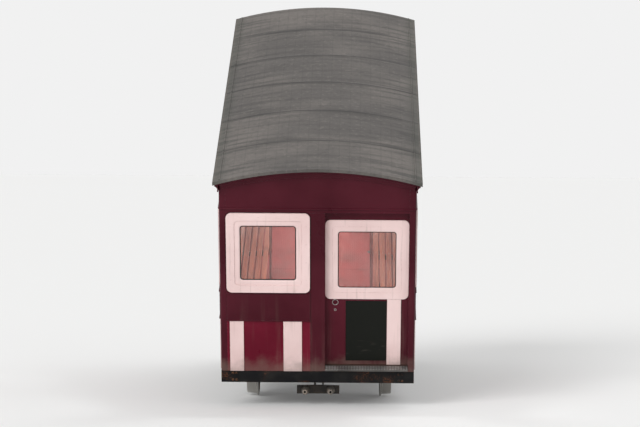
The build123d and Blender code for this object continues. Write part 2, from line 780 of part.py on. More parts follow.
def corner_post(sign):
    """A post with its outer corner rounded."""
    x0, x1 = sorted((sign * BAY_OUT_X, sign * BODY_HALF_W))
    post = block(x0, x1, -BODY_HALF_L, -END_IN_Y, SILL_TOP_Z, ROOF_TOP_Z)
    edge = post.edges().filter_by(Axis.Z).sort_by(lambda e: e.center().Y - sign * e.center().X)[0]
    return under_roof(fillet(edge, POST_ROUND))


save("floor", [block(-SIDE_IN_X, SIDE_IN_X, -END_IN_Y, END_IN_Y, SILL_TOP_Z, FLOOR_Z)])
side_low = block(SIDE_IN_X, BODY_HALF_W, -END_IN_Y, END_IN_Y, SILL_TOP_Z, WAIST_Z)
save("side_panels_lower", both_sides(side_low))
save("side_panels_upper", both_sides(side_upper()))
save("end_panels_lower", both_ends(block(-BAY_OUT_X, -BAY_IN_X, -BODY_HALF_L, -END_IN_Y, SILL_TOP_Z, WAIST_Z)))
save("end_panels_upper", both_ends(end_upper()))
header = block(-BAY_OUT_X, BAY_OUT_X, -BODY_HALF_L, -END_IN_Y, WINDOW_TOP_Z, ROOF_TOP_Z)
save("end_headers", both_ends(under_roof(header)))
centre_post = block(-BAY_IN_X, BAY_IN_X, -BODY_HALF_L, -END_IN_Y, SILL_TOP_Z, WINDOW_TOP_Z)
save("body_posts", both_ends(corner_post(-1)) + both_ends(corner_post(1)) + both_ends(centre_post))


# Window frames and glass


def frame_ring(u0, u1, z0, z1, bar, t):
    """A frame with rounded corners, its back on the wall's face and standing out by t."""
    outer = rounded(u0, u1, z0, z1, FRAME_ROUND, -t, 0)
    inner = rounded(u0 + bar, u1 - bar, z0 + bar, z1 - bar, OPEN_ROUND, -t - CUT, CUT)
    return outer - inner


def pane(u0, u1, z0, z1):
    """A pane that fills the hole behind a frame."""
    lap = FRAME_LAP + GLASS_GAP
    return rounded(u0 + lap, u1 - lap, z0 + lap, z1 - lap, OPEN_ROUND, 0, GLASS_T)


frames = both_ends(on_end(frame_ring(*END_FRAME, FRAME_Z0, FRAME_Z1, FRAME_BAR, FRAME_PROUD)))
panes = both_ends(on_end(pane(*END_FRAME, FRAME_Z0, FRAME_Z1)))
for y in BAY_YS:
    half = SIDE_FRAME_HALF
    frames += both_sides(on_side(frame_ring(-half, half, FRAME_Z0, FRAME_Z1, FRAME_BAR, FRAME_PROUD), y))
    panes += both_sides(on_side(pane(-half, half, FRAME_Z0, FRAME_Z1), y))
save("window_frames", frames)
save("window_glass", panes)


# Waist bands and cream strips


def moulding(u0, u1):
    """The band under the windows, a board with a half-round bead along each edge."""
    z0, z1 = PANEL_TOP_Z, WAIST_Z - FRAME_GAP
    board = Pos(-BAND_T / 2, (z0 + z1) / 2) * Rectangle(BAND_T, z1 - z0)
    low = Pos(-BAND_T, z0 + BEAD_R) * Circle(BEAD_R)
    top = Pos(-BAND_T, z1 - BEAD_R) * Circle(BEAD_R)
    face = Plane.YZ * (board + low + top)
    return (Pos(u0, 0, 0) * extrude(face, amount=u1 - u0)) & block(u0, u1, -3 * BAND_T, 0, z0, z1)


def strip(u0, u1):
    """A flat cream board below the band."""
    return block(u0, u1, -STRIP_T, 0, SILL_TOP_Z, PANEL_TOP_Z)


bands = both_ends(on_end(moulding(-BAY_OUT_X, -BAY_IN_X))) + both_sides(on_side(moulding(-END_IN_Y, END_IN_Y), 0))
corner_strip = -BAY_OUT_X + CORNER_STRIP_IN
centre_strip = -BAY_IN_X - CENTRE_STRIP_IN
strips = both_ends(on_end(strip(corner_strip, corner_strip + CORNER_STRIP_W)))
strips += both_ends(on_end(strip(centre_strip - CENTRE_STRIP_W, centre_strip)))
half = SIDE_STRIP_W / 2
for y in spread(-END_IN_Y + half, END_IN_Y - half, SIDE_BAYS + 1):
    strips += both_sides(on_side(strip(-half, half), y))
save("waist_bands", bands)
save("panel_strips", strips)

# Roof


def roof():
    """One arched shell that overhangs the walls all round."""
    outer = arch_prism(ARCH_R + ROOF_T, -ROOF_HALF_L, ROOF_HALF_L)
    inner = arch_prism(ARCH_R, -ROOF_HALF_L - CUT, ROOF_HALF_L + CUT)
    keep = block(-ROOF_HALF_W, ROOF_HALF_W, -ROOF_HALF_L, ROOF_HALF_L, EAVES_Z - CUT, ROOF_TOP_Z + CUT)
    return (outer - inner) & keep


def cornice_face(top):
    """A cornice's section: out, up and curved back to the wall below, with its top at zero or over."""
    low = -CORNICE_DEEP
    hollow = ThreePointArc(
        (CORNICE_OUT, -CORNICE_LIP - 14),
        (CORNICE_OUT * 0.42, low * 0.48),
        (CORNICE_LIP, low + CORNICE_LIP),
    )
    rest = Polyline((CORNICE_LIP, low + CORNICE_LIP), (CORNICE_LIP, low), (0, low), (0, top), (CORNICE_OUT, top))
    close = Line((CORNICE_OUT, top), (CORNICE_OUT, -CORNICE_LIP - 14))
    return make_face(Curve() + hollow + rest + close)


def side_cornice():
    """The cornice under the eaves, along the side and past both ends' cornices."""
    end = BODY_HALF_L + CORNICE_OUT
    face = Pos(BODY_HALF_W, EAVES_Z) * cornice_face(ROOF_T)
    return under_roof(extrude_y(face, -end, end))


def end_cornice():
    """The same section, bent along the roof's arch by turning it about the arch's centre."""
    half_turn = math.degrees(math.asin(BODY_HALF_W / ARCH_R))
    face = Pos(0, -BODY_HALF_L, ARCH_Z + ARCH_R) * (Rot(Z=-90) * (Plane.XZ * cornice_face(0)))
    axis = Axis((0, 0, ARCH_Z), (0, 1, 0))
    swept = revolve(face.rotate(axis, -half_turn), axis=axis, revolution_arc=2 * half_turn)
    return swept


save("roof", [roof()])
save("roof_cornice", both_sides(side_cornice()) + both_ends(end_cornice()))

# Sliding end doors, drawn for the uphill end
LEAF_X0 = BAY_IN_X - DOOR_LAP_IN
LEAF_X1 = BAY_OUT_X + DOOR_LAP_OUT
LEAF_Y0 = -END_IN_Y + DOOR_RUN_GAP + STRIP_T
LEAF_Y1 = LEAF_Y0 + DOOR_T
LEAF_Z0 = FLOOR_Z + DOOR_FLOOR_GAP
LEAF_Z1 = WINDOW_TOP_Z + DOOR_LAP_TOP
DOOR_FRAME = (BAY_IN_X + FRAME_GAP, BAY_OUT_X - FRAME_GAP, FRAME_Z0 - DOOR_DROP, FRAME_Z1 - DOOR_DROP)
DOOR_STRIP_X1 = BAY_OUT_X - DOOR_STRIP_OUT
DOOR_STRIP_X0 = DOOR_STRIP_X1 - DOOR_STRIP_W
DOOR_PANEL = (
    BAY_IN_X + DOOR_STILE_IN,
    DOOR_STRIP_X0,
    LEAF_Z0 + DOOR_RAIL,
    DOOR_FRAME[2] - DOOR_RAIL / 2,
)
PULL_X = BAY_IN_X + DOOR_STILE_IN / 2
PULL_Z = FLOOR_Z + GRIP_Z - GRIP_LEN / 2
GRIP_X = (LEAF_X0 + DOOR_FRAME[0] + FRAME_LAP) / 2
TRACK_Z = LEAF_Z1 + TRACK_GAP


def door_leaf():
    """The leaf with its window hole, a recess for the dark panel and a sunk finger pull."""
    leaf = block(LEAF_X0, LEAF_X1, LEAF_Y0, LEAF_Y1, LEAF_Z0, LEAF_Z1)
    x0, x1, z0, z1 = DOOR_FRAME
    lap = FRAME_LAP
    leaf -= rounded(x0 + lap, x1 - lap, z0 + lap, z1 - lap, OPEN_ROUND, LEAF_Y0 - CUT, LEAF_Y1 + CUT)
    x0, x1, z0, z1 = DOOR_PANEL
    leaf -= block(x0, x1, LEAF_Y0 - CUT, LEAF_Y0 + DOOR_RECESS, z0, z1)
    return leaf - bar_y(PULL_R, LEAF_Y0 - CUT, LEAF_Y0 + DOOR_RECESS, PULL_X, PULL_Z)


def door_panel():
    """The near-black panel in the leaf's lower half, a little below the leaf's face."""
    x0, x1, z0, z1 = DOOR_PANEL
    back = LEAF_Y0 + DOOR_RECESS
    return block(x0, x1, back - DOOR_PANEL_T, back, z0, z1)


def door_frame():
    """The cream window frame on the leaf, no prouder than its gap to the wall allows."""
    x0, x1, z0, z1 = DOOR_FRAME
    return Pos(0, LEAF_Y0, 0) * frame_ring(x0, x1, z0, z1, DOOR_FRAME_BAR, STRIP_T)


def door_strip():
    """The cream strip beside the dark panel."""
    return block(DOOR_STRIP_X0, DOOR_STRIP_X1, LEAF_Y0 - STRIP_T, LEAF_Y0, LEAF_Z0, DOOR_FRAME[2] - FRAME_GAP)


def door_hanger(x):
    """A strap up from the leaf's inside to a roller that runs on the track."""
    z = TRACK_Z + TRACK_T + ROLLER_CLEAR + ROLLER_R
    strap = block(x - HANGER_W / 2, x + HANGER_W / 2, LEAF_Y1, LEAF_Y1 + HANGER_T, LEAF_Z1 - HANGER_DOWN, z)
    eye = bar_y(HANGER_EYE_R, LEAF_Y1, LEAF_Y1 + HANGER_T, x, z)
    roller_y = LEAF_Y0 + (TRACK_OUT - DOOR_RUN_GAP - STRIP_T) / 2
    roller = bar_y(ROLLER_R, roller_y - ROLLER_W / 2, roller_y + ROLLER_W / 2, x, z)
    pin = bar_y(ROLLER_R / 3, roller_y, LEAF_Y1 + HANGER_T, x, z)
    return strap + eye + roller + pin


def door_grip():
    """The bar handle inside the cabin, on two stand-offs."""
    y = LEAF_Y1 + GRIP_OUT
    z0 = FLOOR_Z + GRIP_Z
    bar = Pos(GRIP_X, y, z0 + GRIP_LEN / 2) * Cylinder(GRIP_R, GRIP_LEN)
    for z in (z0 + 20, z0 + GRIP_LEN - 20):
        bar += bar_y(GRIP_POST_R, LEAF_Y1, y, GRIP_X, z)
    return bar


hangers = [door_hanger(x) for x in (LEAF_X0 + HANGER_IN, LEAF_X1 - HANGER_IN)]
for end_name, turn in (("uphill", 0), ("downhill", 180)):
    place = Rot(Z=turn)
    x0, x1, z0, z1 = DOOR_FRAME
    save("door_leaf_" + end_name, [place * door_leaf()])
    save("door_panel_" + end_name, [place * door_panel()])
    save("door_frame_" + end_name, [place * door_frame(), place * door_strip()])
    save("door_glass_" + end_name, [place * (Pos(0, LEAF_Y0, 0) * pane(x0, x1, z0, z1))])
    save("door_fittings_" + end_name, [place * one for one in hangers + [door_grip()]])


def door_track():
    """The shelf that the rollers run on, along the inside of the header."""
    return block(-BAY_OUT_X, BAY_OUT_X, -END_IN_Y, -END_IN_Y + TRACK_OUT, TRACK_Z, TRACK_Z + TRACK_T)


def door_sill():
    """The step plate under the door, out over the headstock on two small brackets."""
    y0 = -BODY_HALF_L - SILL_PLATE_OUT
    plate = block(BAY_IN_X, BAY_OUT_X, y0, -END_IN_Y, FLOOR_Z - SILL_PLATE_T, FLOOR_Z)
    under = block(BAY_IN_X, BAY_OUT_X, -BODY_HALF_L, -END_IN_Y, SILL_TOP_Z, FLOOR_Z - SILL_PLATE_T)
    bracket = plate_yz(
        [
            (-BODY_HALF_L, FLOOR_Z - SILL_PLATE_T),
            (y0, FLOOR_Z - SILL_PLATE_T),
            (-BODY_HALF_L, SILL_TOP_Z),
        ],
        -6,
        6,
    )
    for x in (BAY_IN_X + HANGER_IN, BAY_OUT_X - HANGER_IN):
        plate += Pos(x, 0, 0) * bracket
    return plate + under


save("door_tracks", both_ends(door_track()))
save("door_sills", both_ends(door_sill()))

# Benches, drawn for the left-hand side and turned round for the other
SEAT_Z = FLOOR_Z + SEAT_RISE
BENCH_Y0 = -END_IN_Y + BENCH_START
BENCH_Y1 = END_IN_Y - BENCH_STOP


def slat_run(row, section):
    """A section carried along the bench at a slat's place, tilted to the seat's curve."""
    placed = Pos(-SIDE_IN_X + row.out, SEAT_Z + row.up) * (Rot(Z=-row.tilt) * section)
    return extrude_y(placed, BENCH_Y0, BENCH_Y1)


def slat(row):
    """One slat along the car, its edges rounded."""
    return slat_run(row, RectangleRounded(SLAT_W, SLAT_T, SLAT_T / 4))


def behind(row):
    """A point of the frame's edge behind a slat's middle, with the slat let in by its notch."""
    reach = SLAT_T / 2 - SLAT_NOTCH
    tilt = math.radians(row.tilt)
    return (-SIDE_IN_X + row.out - reach * math.sin(tilt), SEAT_Z + row.up - reach * math.cos(tilt))


def bench_frame(y):
    """A cast frame: a bearer up the wall and under the seat, notched for its slats, and a front foot."""
    wall_x = -SIDE_IN_X
    back = [behind(row) for row in reversed(BACK_SLATS)]
    seat = [behind(row) for row in SEAT_SLATS]
    top_z = back[0][1] + SLAT_W / 2
    front_x = seat[-1][0] + SLAT_W / 2
    low_z = min(z for x, z in seat) - LEG_TOP
    outline = [(wall_x, top_z), (back[0][0], top_z)] + back + seat + [
        (front_x, seat[-1][1]),
        (front_x, low_z + 20),
        (front_x - 20, low_z),
        (front_x - LEG_FOOT / 2, FLOOR_Z + 60),
        (front_x, FLOOR_Z + 12),
        (front_x, FLOOR_Z),
        (front_x - LEG_FOOT - 30, FLOOR_Z),
        (front_x - LEG_FOOT - 10, FLOOR_Z + 60),
        (front_x - LEG_FOOT, low_z),
        (wall_x, low_z),
    ]
    frame = extrude_y(make_face(Polyline(*outline, close=True)), y - LEG_T / 2, y + LEG_T / 2)
    for row in SEAT_SLATS + BACK_SLATS:
        frame -= slat_run(row, Rectangle(SLAT_W, SLAT_T))
    return frame


slats = []
for row in SEAT_SLATS + BACK_SLATS:
    slats += both_ends(slat(row))
save("bench_slats", slats)
benches = []
for y in spread(BENCH_Y0 + LEG_IN, BENCH_Y1 - LEG_IN, LEG_COUNT):
    benches += both_ends(bench_frame(y))
save("bench_frames", benches)

# Grab poles and ceiling lamps


def grab_pole(y):
    """A pole from the floor to the roof beside the left-hand bench, with a flange on the floor."""
    pole = Pos(-POLE_X, y, (FLOOR_Z + ROOF_TOP_Z) / 2) * Cylinder(POLE_R, ROOF_TOP_Z - FLOOR_Z)
    foot = Pos(-POLE_X, y, FLOOR_Z + POLE_FOOT_T / 2) * Cylinder(POLE_FOOT_R, POLE_FOOT_T)
    return under_roof(pole) + foot


def lamp(y):
    """A round base under the roof and a shallow bowl below it."""
    top = EAVES_Z + ROOF_RISE
    base = under_roof(Pos(0, y, top) * Cylinder(LAMP_R, 2 * LAMP_BASE_T))
    bowl_r = LAMP_R - LAMP_LIP
    sphere_r = (bowl_r ** 2 + LAMP_DROP ** 2) / (2 * LAMP_DROP)
    half_turn = math.asin(bowl_r / sphere_r) / 2
    middle = (sphere_r * math.sin(half_turn), sphere_r * (1 - math.cos(half_turn)) - LAMP_DROP)
    arc = ThreePointArc((0, -LAMP_DROP), middle, (bowl_r, 0))
    face = make_face(Curve() + arc + Polyline((bowl_r, 0), (0, 0), (0, -LAMP_DROP)))
    bowl = revolve(Plane.XZ * face, axis=Axis.Z)
    return base + Pos(0, y, top - LAMP_BASE_T) * bowl


save("grab_poles", both_ends(grab_pole(BENCH_Y1 + 2 * POLE_FOOT_R)) + both_ends(grab_pole(MID_POLE_Y)))
save("ceiling_lamps", both_ends(lamp(-BODY_HALF_L + LAMP_FROM_END)))
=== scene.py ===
# %% [markdown]
# # A funicular car: from CAD solids to a finished model
# The CAD model gives each piece of the car its true size and place, but not what tells paint from iron
# and iron from wood. This lesson adds that: finishes worked out from position, and small fastenings and
# trim that follow simple rules. The frame comes first, because every later piece is placed against it.

import bmesh
import bpy
from math import cos, degrees, pi, radians, sin, sqrt
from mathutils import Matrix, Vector


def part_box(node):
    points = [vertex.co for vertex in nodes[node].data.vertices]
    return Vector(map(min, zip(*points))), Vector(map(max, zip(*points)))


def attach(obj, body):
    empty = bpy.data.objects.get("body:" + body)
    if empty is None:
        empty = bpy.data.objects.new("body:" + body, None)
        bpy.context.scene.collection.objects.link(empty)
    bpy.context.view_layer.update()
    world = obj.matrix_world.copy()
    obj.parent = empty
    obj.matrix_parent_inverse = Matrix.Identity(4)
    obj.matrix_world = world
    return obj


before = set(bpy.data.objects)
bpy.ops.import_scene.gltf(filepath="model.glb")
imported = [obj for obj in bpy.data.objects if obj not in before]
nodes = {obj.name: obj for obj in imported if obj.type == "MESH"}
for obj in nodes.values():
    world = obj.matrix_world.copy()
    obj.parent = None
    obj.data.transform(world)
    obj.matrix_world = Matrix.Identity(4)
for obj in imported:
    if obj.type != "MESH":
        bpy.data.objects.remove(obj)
bpy.context.scene.view_settings.view_transform = "Standard"
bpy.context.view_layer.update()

# %% [markdown]
# ## Faces to build on
# Trim has to meet the solids to a fraction of a millimetre. So the faces that it lies on are measured on
# the CAD pieces and not typed in again.

# %% Faces measured on the CAD pieces
def face(node, side):
    """Where a CAD piece ends on a side such as +x or -z, to a tenth of a millimetre."""
    return round(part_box(node)["-+".index(side[0])]["xyz".index(side[1])], 4)


HALF_W, HALF_L = face("side_panels_lower", "+x"), face("end_panels_lower", "+y")
INNER_HALF_W, FLOOR_Z = face("floor", "+x"), face("floor", "+z")
WALL = HALF_W - INNER_HALF_W
SILL_Z, SILL_TOP_Z = face("sole_bars", "-z"), face("sole_bars", "+z")
WAIST_Z, WINDOW_TOP_Z = face("end_panels_upper", "-z"), face("end_panels_upper", "+z")
FRAME_Z0, FRAME_Z1 = face("window_frames", "-z"), face("window_frames", "+z")
END_X0, END_X1 = -face("door_frame_uphill", "+x"), -face("door_frame_uphill", "-x")
DOOR_Y = face("door_leaf_uphill", "-y")
print("half width and length:", HALF_W, HALF_L, "floor at", FLOOR_Z, "waist at", WAIST_Z)

# %% [markdown]
# ## The car's own geometry
# Sizes that no box shows are written down, in metres. The cabin is level and uses x, y and z. Wheels,
# girders and brakes lie along the slope, and are easier to place with s down it and h square to it, from
# the plane that the wheels stand on. Two functions turn the second kind of place into the first.

# %% Sizes and places
INCLINE = radians(21)
SIN, COS = sin(INCLINE), cos(INCLINE)
AXLE_S, TREAD_R, GIRDER_LOW_H, GIRDER_TOP_H = 1.75, 0.25, 0.334, 0.484
ARCH_R, ARCH_Z, ROOF_T = 3.9303, -0.1703, 0.035
MULLION_W, BAYS = 0.130, 4
BAY = 2 * (HALF_L - WALL) / BAYS
BAY_HALF = (BAY - MULLION_W) / 2
BAY_YS = [BAY * (k - (BAYS - 1) / 2) for k in range(BAYS)]
FRAME_BAR, FRAME_R = 0.088, 0.058
ENDS = {"uphill": -1, "downhill": 1}


def on_slope(s, h):
    """The y and z of a place s down the slope and h above the plane that the wheels stand on."""
    return s * COS + h * SIN, h * COS - s * SIN


def slope_z(y, h):
    """The height, at y, of the plane that lies h above the one that the wheels stand on."""
    return (h - y * SIN) / COS


def both(distance):
    """A distance to either side."""
    return -distance, distance


def spread(first, last, count):
    """Numbers in even steps from first to last."""
    return [first + (last - first) * k / (count - 1) for k in range(count)]


print("uphill axle at y, z:", on_slope(-AXLE_S, TREAD_R), "windows at y:", BAY_YS)

# %% [markdown]
# ## A short way to write nodes
# A finish is a small graph: coordinates go in, patterns come out, and they are mixed into a colour, a
# roughness and a bump height. Laid node by node that is hard to follow. So a node's output is wrapped in
# a Wire, and arithmetic with a wire adds the Math node for it: then rust * 0.75 is one Multiply node.

# %% Adding nodes
def give(socket, value):
    """Links a socket to a wire or to each wire in a list, or sets its plain value."""
    if isinstance(value, list):
        for one in value:
            give(socket, one)
    elif isinstance(value, Wire):
        socket.id_data.links.new(value.socket, socket)
    elif socket.type == "RGBA" and len(value) == 3:
        socket.default_value = (*value, 1.0)
    else:
        socket.default_value = value


def put(tree, kind, *in_order, **named):
    """Adds a node and hands back its first output. Its inputs are given in order or by name, with
    _ for a space, and a name in small letters is one of its settings."""
    node = tree.nodes.new(kind)
    for name in filter(str.islower, named):
        setattr(node, name, named[name])
    inputs = [socket for socket in node.inputs if socket.enabled]
    for socket, value in zip(inputs, in_order):
        give(socket, value)
    for name, value in named.items():
        if not name.islower():
            give(next(s for s in inputs if s.name == name.replace("_", " ")), value)
    outputs = [socket for socket in node.outputs if socket.enabled]
    return Wire(outputs[0]) if outputs else None


def feed(kind, *in_order, **named):
    """The same for a node that a wire goes into, in the tree of that wire."""
    given = (*in_order, *named.values())
    return put(next(one.tree for one in given if isinstance(one, Wire)), kind, *in_order, **named)


print("nodes can be added")

# %% Wires
def math_step(operation, flipped=False):
    """A method of Wire that adds one Math node. Flipped puts the other value first."""

    def method(self, other=0.0):
        pair = (other, self) if flipped else (self, other)
        return feed("ShaderNodeMath", *pair, operation=operation)

    return method


class Wire:
    """An output of a node, which takes part in arithmetic as a number would."""

    def __init__(self, socket):
        self.socket, self.tree = socket, socket.id_data

    def __getitem__(self, name):
        """Another output of the same node."""
        return Wire(self.socket.node.outputs[name])

    __add__ = __radd__ = math_step("ADD")
    __mul__ = __rmul__ = math_step("MULTIPLY")
    __sub__, __rsub__ = math_step("SUBTRACT"), math_step("SUBTRACT", flipped=True)
    __lt__, __gt__ = math_step("LESS_THAN"), math_step("GREATER_THAN")
    __abs__, __pow__ = math_step("ABSOLUTE"), math_step("POWER")
    sign, at_least, fold = math_step("SIGN"), math_step("MAXIMUM"), math_step("PINGPONG")


print("wires can be added, multiplied and compared")

# %% [markdown]
# ## Patterns
# These few functions are the whole vocabulary of the finishes: a ramp between two limits, a mix of two
# colours, a distance. All read Object coordinates, which are metres here.

# %% Patterns
def ramp(value, low, high):
    """0 at low, 1 at high and held beyond them. Low may be the larger."""
    return feed("ShaderNodeMapRange", value, low, high, interpolation_type="SMOOTHSTEP")


def mix(share, low, high):
    """One colour going over into another."""
    return feed("ShaderNodeMix", share, low, high, data_type="RGBA")


def layers(skin, *coats):
    """Colours laid over a first one, each coat a share and a colour."""
    for share, colour in coats:
        skin = mix(share, skin, colour)
    return skin


def blend(share, low, high):
    """One number going over into another."""
    return feed("ShaderNodeMix", share, low, high, data_type="FLOAT")


def over(share, under, top):
    """One shader laid over another."""
    return feed("ShaderNodeMixShader", share, under, top)


def length(**parts):
    """The length of a vector, given by some of its parts X, Y and Z."""
    return feed("ShaderNodeVectorMath", feed("ShaderNodeCombineXYZ", **parts), operation="LENGTH")


def shaded(colour, factor, lift=0.0):
    """A colour made darker or lighter."""
    return tuple(part * factor + lift for part in colour)


def clean_tree(thing):
    """The node tree of a new material or world, emptied."""
    thing.use_nodes = True
    thing.node_tree.nodes.clear()
    return thing.node_tree


print("patterns are ready")

# %% [markdown]
# ## One class for a finish
# Every finish starts alike: a Principled shader and the Object coordinates. A cloud of noise, squeezed
# along one axis, becomes grain, rain streaks or brush marks. The Bevel node serves twice. Its rounded
# normal softens the hard edges of a CAD solid, and where it leans away from the true normal there is an
# edge, where paint chips and rust starts.

# %% The finish class
class Finish:
    """A new material with its Principled shader, and wires for its coordinates."""

    def __init__(self, name, colour, roughness, **surface):
        self.material = bpy.data.materials.new(name)
        self.tree = clean_tree(self.material)
        values = {"Base_Color": colour, "Roughness": roughness, **surface}
        shader = put(self.tree, "ShaderNodeBsdfPrincipled", **values)
        feed("ShaderNodeOutputMaterial", shader)
        self.inputs = shader.socket.node.inputs
        self.where = put(self.tree, "ShaderNodeTexCoord")["Object"]
        apart = feed("ShaderNodeSeparateXYZ", self.where)
        self.x, self.y, self.z = apart["X"], apart["Y"], apart["Z"]

    def normal(self):
        return put(self.tree, "ShaderNodeNewGeometry")["Normal"]

    def cloud(self, scale, detail, stretch=None):
        """A noise pattern. Stretch multiplies the coordinates, so a small number draws it out."""
        where = self.where
        if stretch:
            where = feed("ShaderNodeVectorMath", where, stretch, operation="MULTIPLY")
        return feed("ShaderNodeTexNoise", where, Scale=scale, Detail=detail)

    def rounded(self, radius):
        return put(self.tree, "ShaderNodeBevel", Radius=radius, samples=4)

    def edges(self, radius):
        """1 near a sharp edge, by how far the rounded normal leans away from the true one."""
        pair = self.rounded(radius), self.normal()
        return ramp(feed("ShaderNodeVectorMath", *pair, operation="DOT_PRODUCT"), 0.99, 0.8)

    def colour(self, value):
        give(self.inputs["Base Color"], value)

    def roughness(self, pattern, low, high):
        scaled = feed("ShaderNodeMapRange", pattern, To_Min=low, To_Max=high)
        give(self.inputs["Roughness"], scaled)

    def bump(self, height, depth, soft=0.0):
        """Depth is in metres. Soft rounds the sharp edges of a CAD solid by that radius."""
        normal = {"Normal": self.rounded(soft)} if soft else {}
        give(self.inputs["Normal"], feed("ShaderNodeBump", Height=height, Distance=depth, **normal))


print("the finish class is ready")

# %% [markdown]
# ## The lining boards
# Inside, the walls are lined with narrow boards, cream above the waist and dusty red below. Their
# grooves could be cut, but through the glass a groove is only a line. So they are a pattern: a
# coordinate folded back and forth at half a board's width, which comes to nothing at every joint.

# %% Lining boards
DUST, CREAM, ROSE = (0.20, 0.155, 0.125), (0.90, 0.69, 0.67), (0.54, 0.128, 0.122)
BOARD_W, GROOVE_W, FACE_TOLERANCE = 0.095, 0.004, 0.003


def lining(f, half_l):
    """Whether a point lies inside the walls, the lining's colour there, and its grooves."""
    inside = (abs(f.x) < INNER_HALF_W + FACE_TOLERANCE) * (abs(f.y) < half_l + FACE_TOLERANCE)
    on_side_wall = abs(f.x) > INNER_HALF_W - FACE_TOLERANCE
    groove = ramp(blend(on_side_wall, f.x, f.y).fold(BOARD_W / 2), 0, GROOVE_W)
    boards = mix(f.z > WAIST_Z, ROSE, CREAM)
    tone = f.cloud(5, 4, (1, 1, 0.3))
    boards = mix(ramp(tone, 0.35, 0.75), boards, mix(0.25, boards, DUST))
    return inside, mix(groove, (0.10, 0.06, 0.05), boards), groove


print("boards", BOARD_W, "m wide")

# %% [markdown]
# ## Coach paint
# The body is deep crimson gloss, darker on the posts, the waist and above the windows. Such paint fades
# in patches, rain draws dirt down it, and it rubs through at the edges. Beside the frames it is darkened
# by painted shade, with some grime. Where a point lies tells paint from lining, so one finish holds both
# sides of a wall, and the wall stays one piece.

# %% Coach paint
# SHADE_AND_GRIME_BY_FRAME is the width of the painted shade, with some grime, beside a frame.
SHADE_AND_GRIME_BY_FRAME, DOOR_INNER_Y = 0.022, 0.033
RUNS_Z, SPLASH_Z = (2.6, 1.4), (1.42, 1.22)


def frame_shade_and_grime(f):
    """1 on the paint beside a window frame, where painted shade with some grime darkens it: the distance to
    a rectangle with rounded corners.
    """
    along = BAY / 2 - f.y.fold(BAY / 2)
    across = abs(f.x * f.y.sign() + (END_X0 + END_X1) / 2)
    end_half, half_h = (END_X1 - END_X0) / 2, (FRAME_Z1 - FRAME_Z0) / 2
    on_end_wall = abs(f.y) > HALF_L - 0.01
    out_u = blend(on_end_wall, along - (BAY_HALF - FRAME_R), across - (end_half - FRAME_R))
    out_z = abs(f.z - (FRAME_Z0 + FRAME_Z1) / 2) - (half_h - FRAME_R)
    return ramp(length(X=out_u.at_least(0), Y=out_z.at_least(0)), FRAME_R + SHADE_AND_GRIME_BY_FRAME, FRAME_R)


def coach_paint(name, colour, roughness, lined_to):
    """Coach paint, with the lining inside the walls as far as that half length."""
    f = Finish(name, colour, roughness, Specular_IOR_Level=0.11, Coat_Weight=0.05, Coat_Roughness=0.14)
    fade = f.cloud(1.4, 5)
    faded = mix(ramp(fade, 0.3, 0.7), shaded(colour, 0.78), shaded(colour, 1.15, 0.004))
    runs = ramp(f.cloud(1, 6, (17, 17, 0.9)), 0.52, 0.74)
    splash = ramp(f.z + f.cloud(7, 5) * -0.35, *SPLASH_Z)
    dirt = runs * (ramp(f.z, *RUNS_Z) * 0.22) + splash * 0.4
    # Painted shade with some grime: a darker copy of the paint in a thin band round each frame.
    frame_shade_and_grime_coat = frame_shade_and_grime(f) * 0.7, shaded(colour, 0.25)
    chips = f.edges(0.006) * ramp(f.cloud(38, 4), 0.5, 0.62)
    skin = layers(faded, (dirt, DUST), frame_shade_and_grime_coat, (chips * 0.55, shaded(colour, 0.5, 0.10)))
    inside, boards, groove = lining(f, lined_to)
    f.colour(mix(inside, skin, boards))
    f.roughness(fade + dirt * 0.8, roughness * 0.6, roughness * 1.6)
    f.bump(f.cloud(1, 4, (70, 70, 9)) * 0.10 + groove * inside, 0.004, soft=0.004)
    return f.material


crimson = coach_paint("crimson_coach_paint", (0.150, 0.0042, 0.0200), 0.30, HALF_L - WALL)
dark_crimson = coach_paint("dark_crimson_coach_paint", (0.066, 0.0040, 0.0120), 0.28, HALF_L - WALL)
door_paint = coach_paint("door_coach_paint", (0.074, 0.0042, 0.0130), 0.28, -DOOR_Y - DOOR_INNER_Y)
print("coach paints:", crimson.name, dark_crimson.name, door_paint.name)

# %% [markdown]
# ## Cream trim and the dark door panel
# The window frames and the upright strips are cream gloss, with dirt on their ledges and wear at their
# edges. The panel low in each door is near black, and scuffed more the lower one looks. A plain colour
# would do from afar, but these lie nearest to the eye, and there it looks like plastic.

# %% Cream gloss and near-black panel
LEDGE_SPLASH_Z, SCUFF_Z = (1.45, 1.22), (2.0, 1.45)


def cream_paint():
    f = Finish("cream_gloss", CREAM, 0.32, Specular_IOR_Level=0.35)
    patch = f.cloud(2.2, 5)
    skin = mix(ramp(patch, 0.3, 0.7), CREAM, (0.81, 0.60, 0.58))
    runs = ramp(f.cloud(1, 6, (26, 26, 1.6)), 0.55, 0.8)
    skin = mix(runs * 0.35, skin, (0.33, 0.25, 0.20))
    splash = ramp(f.z + f.cloud(9, 4) * -0.3, *LEDGE_SPLASH_Z)
    skin = mix(splash * 0.5, skin, DUST)
    worn = f.edges(0.005) * ramp(f.cloud(45, 3), 0.5, 0.62)
    f.colour(mix(worn * 0.6, skin, (0.36, 0.24, 0.17)))
    f.roughness(patch, 0.22, 0.46)
    f.bump(f.cloud(1, 4, (60, 60, 14)), 0.0006, soft=0.004)
    return f.material


def near_black():
    f = Finish("near_black_panel", (0.008, 0.009, 0.007), 0.4, Specular_IOR_Level=0.14)
    scuff = ramp(f.cloud(1, 5, (9, 9, 30)), 0.55, 0.8)
    f.colour(mix(scuff * ramp(f.z, *SCUFF_Z), (0.007, 0.008, 0.006), (0.045, 0.038, 0.032)))
    f.roughness(scuff, 0.3, 0.65)
    f.bump(f.cloud(30, 4), 0.0008, soft=0.003)
    return f.material


cream, black_panel = cream_paint(), near_black()
print("trim and panel:", cream.name, black_panel.name)

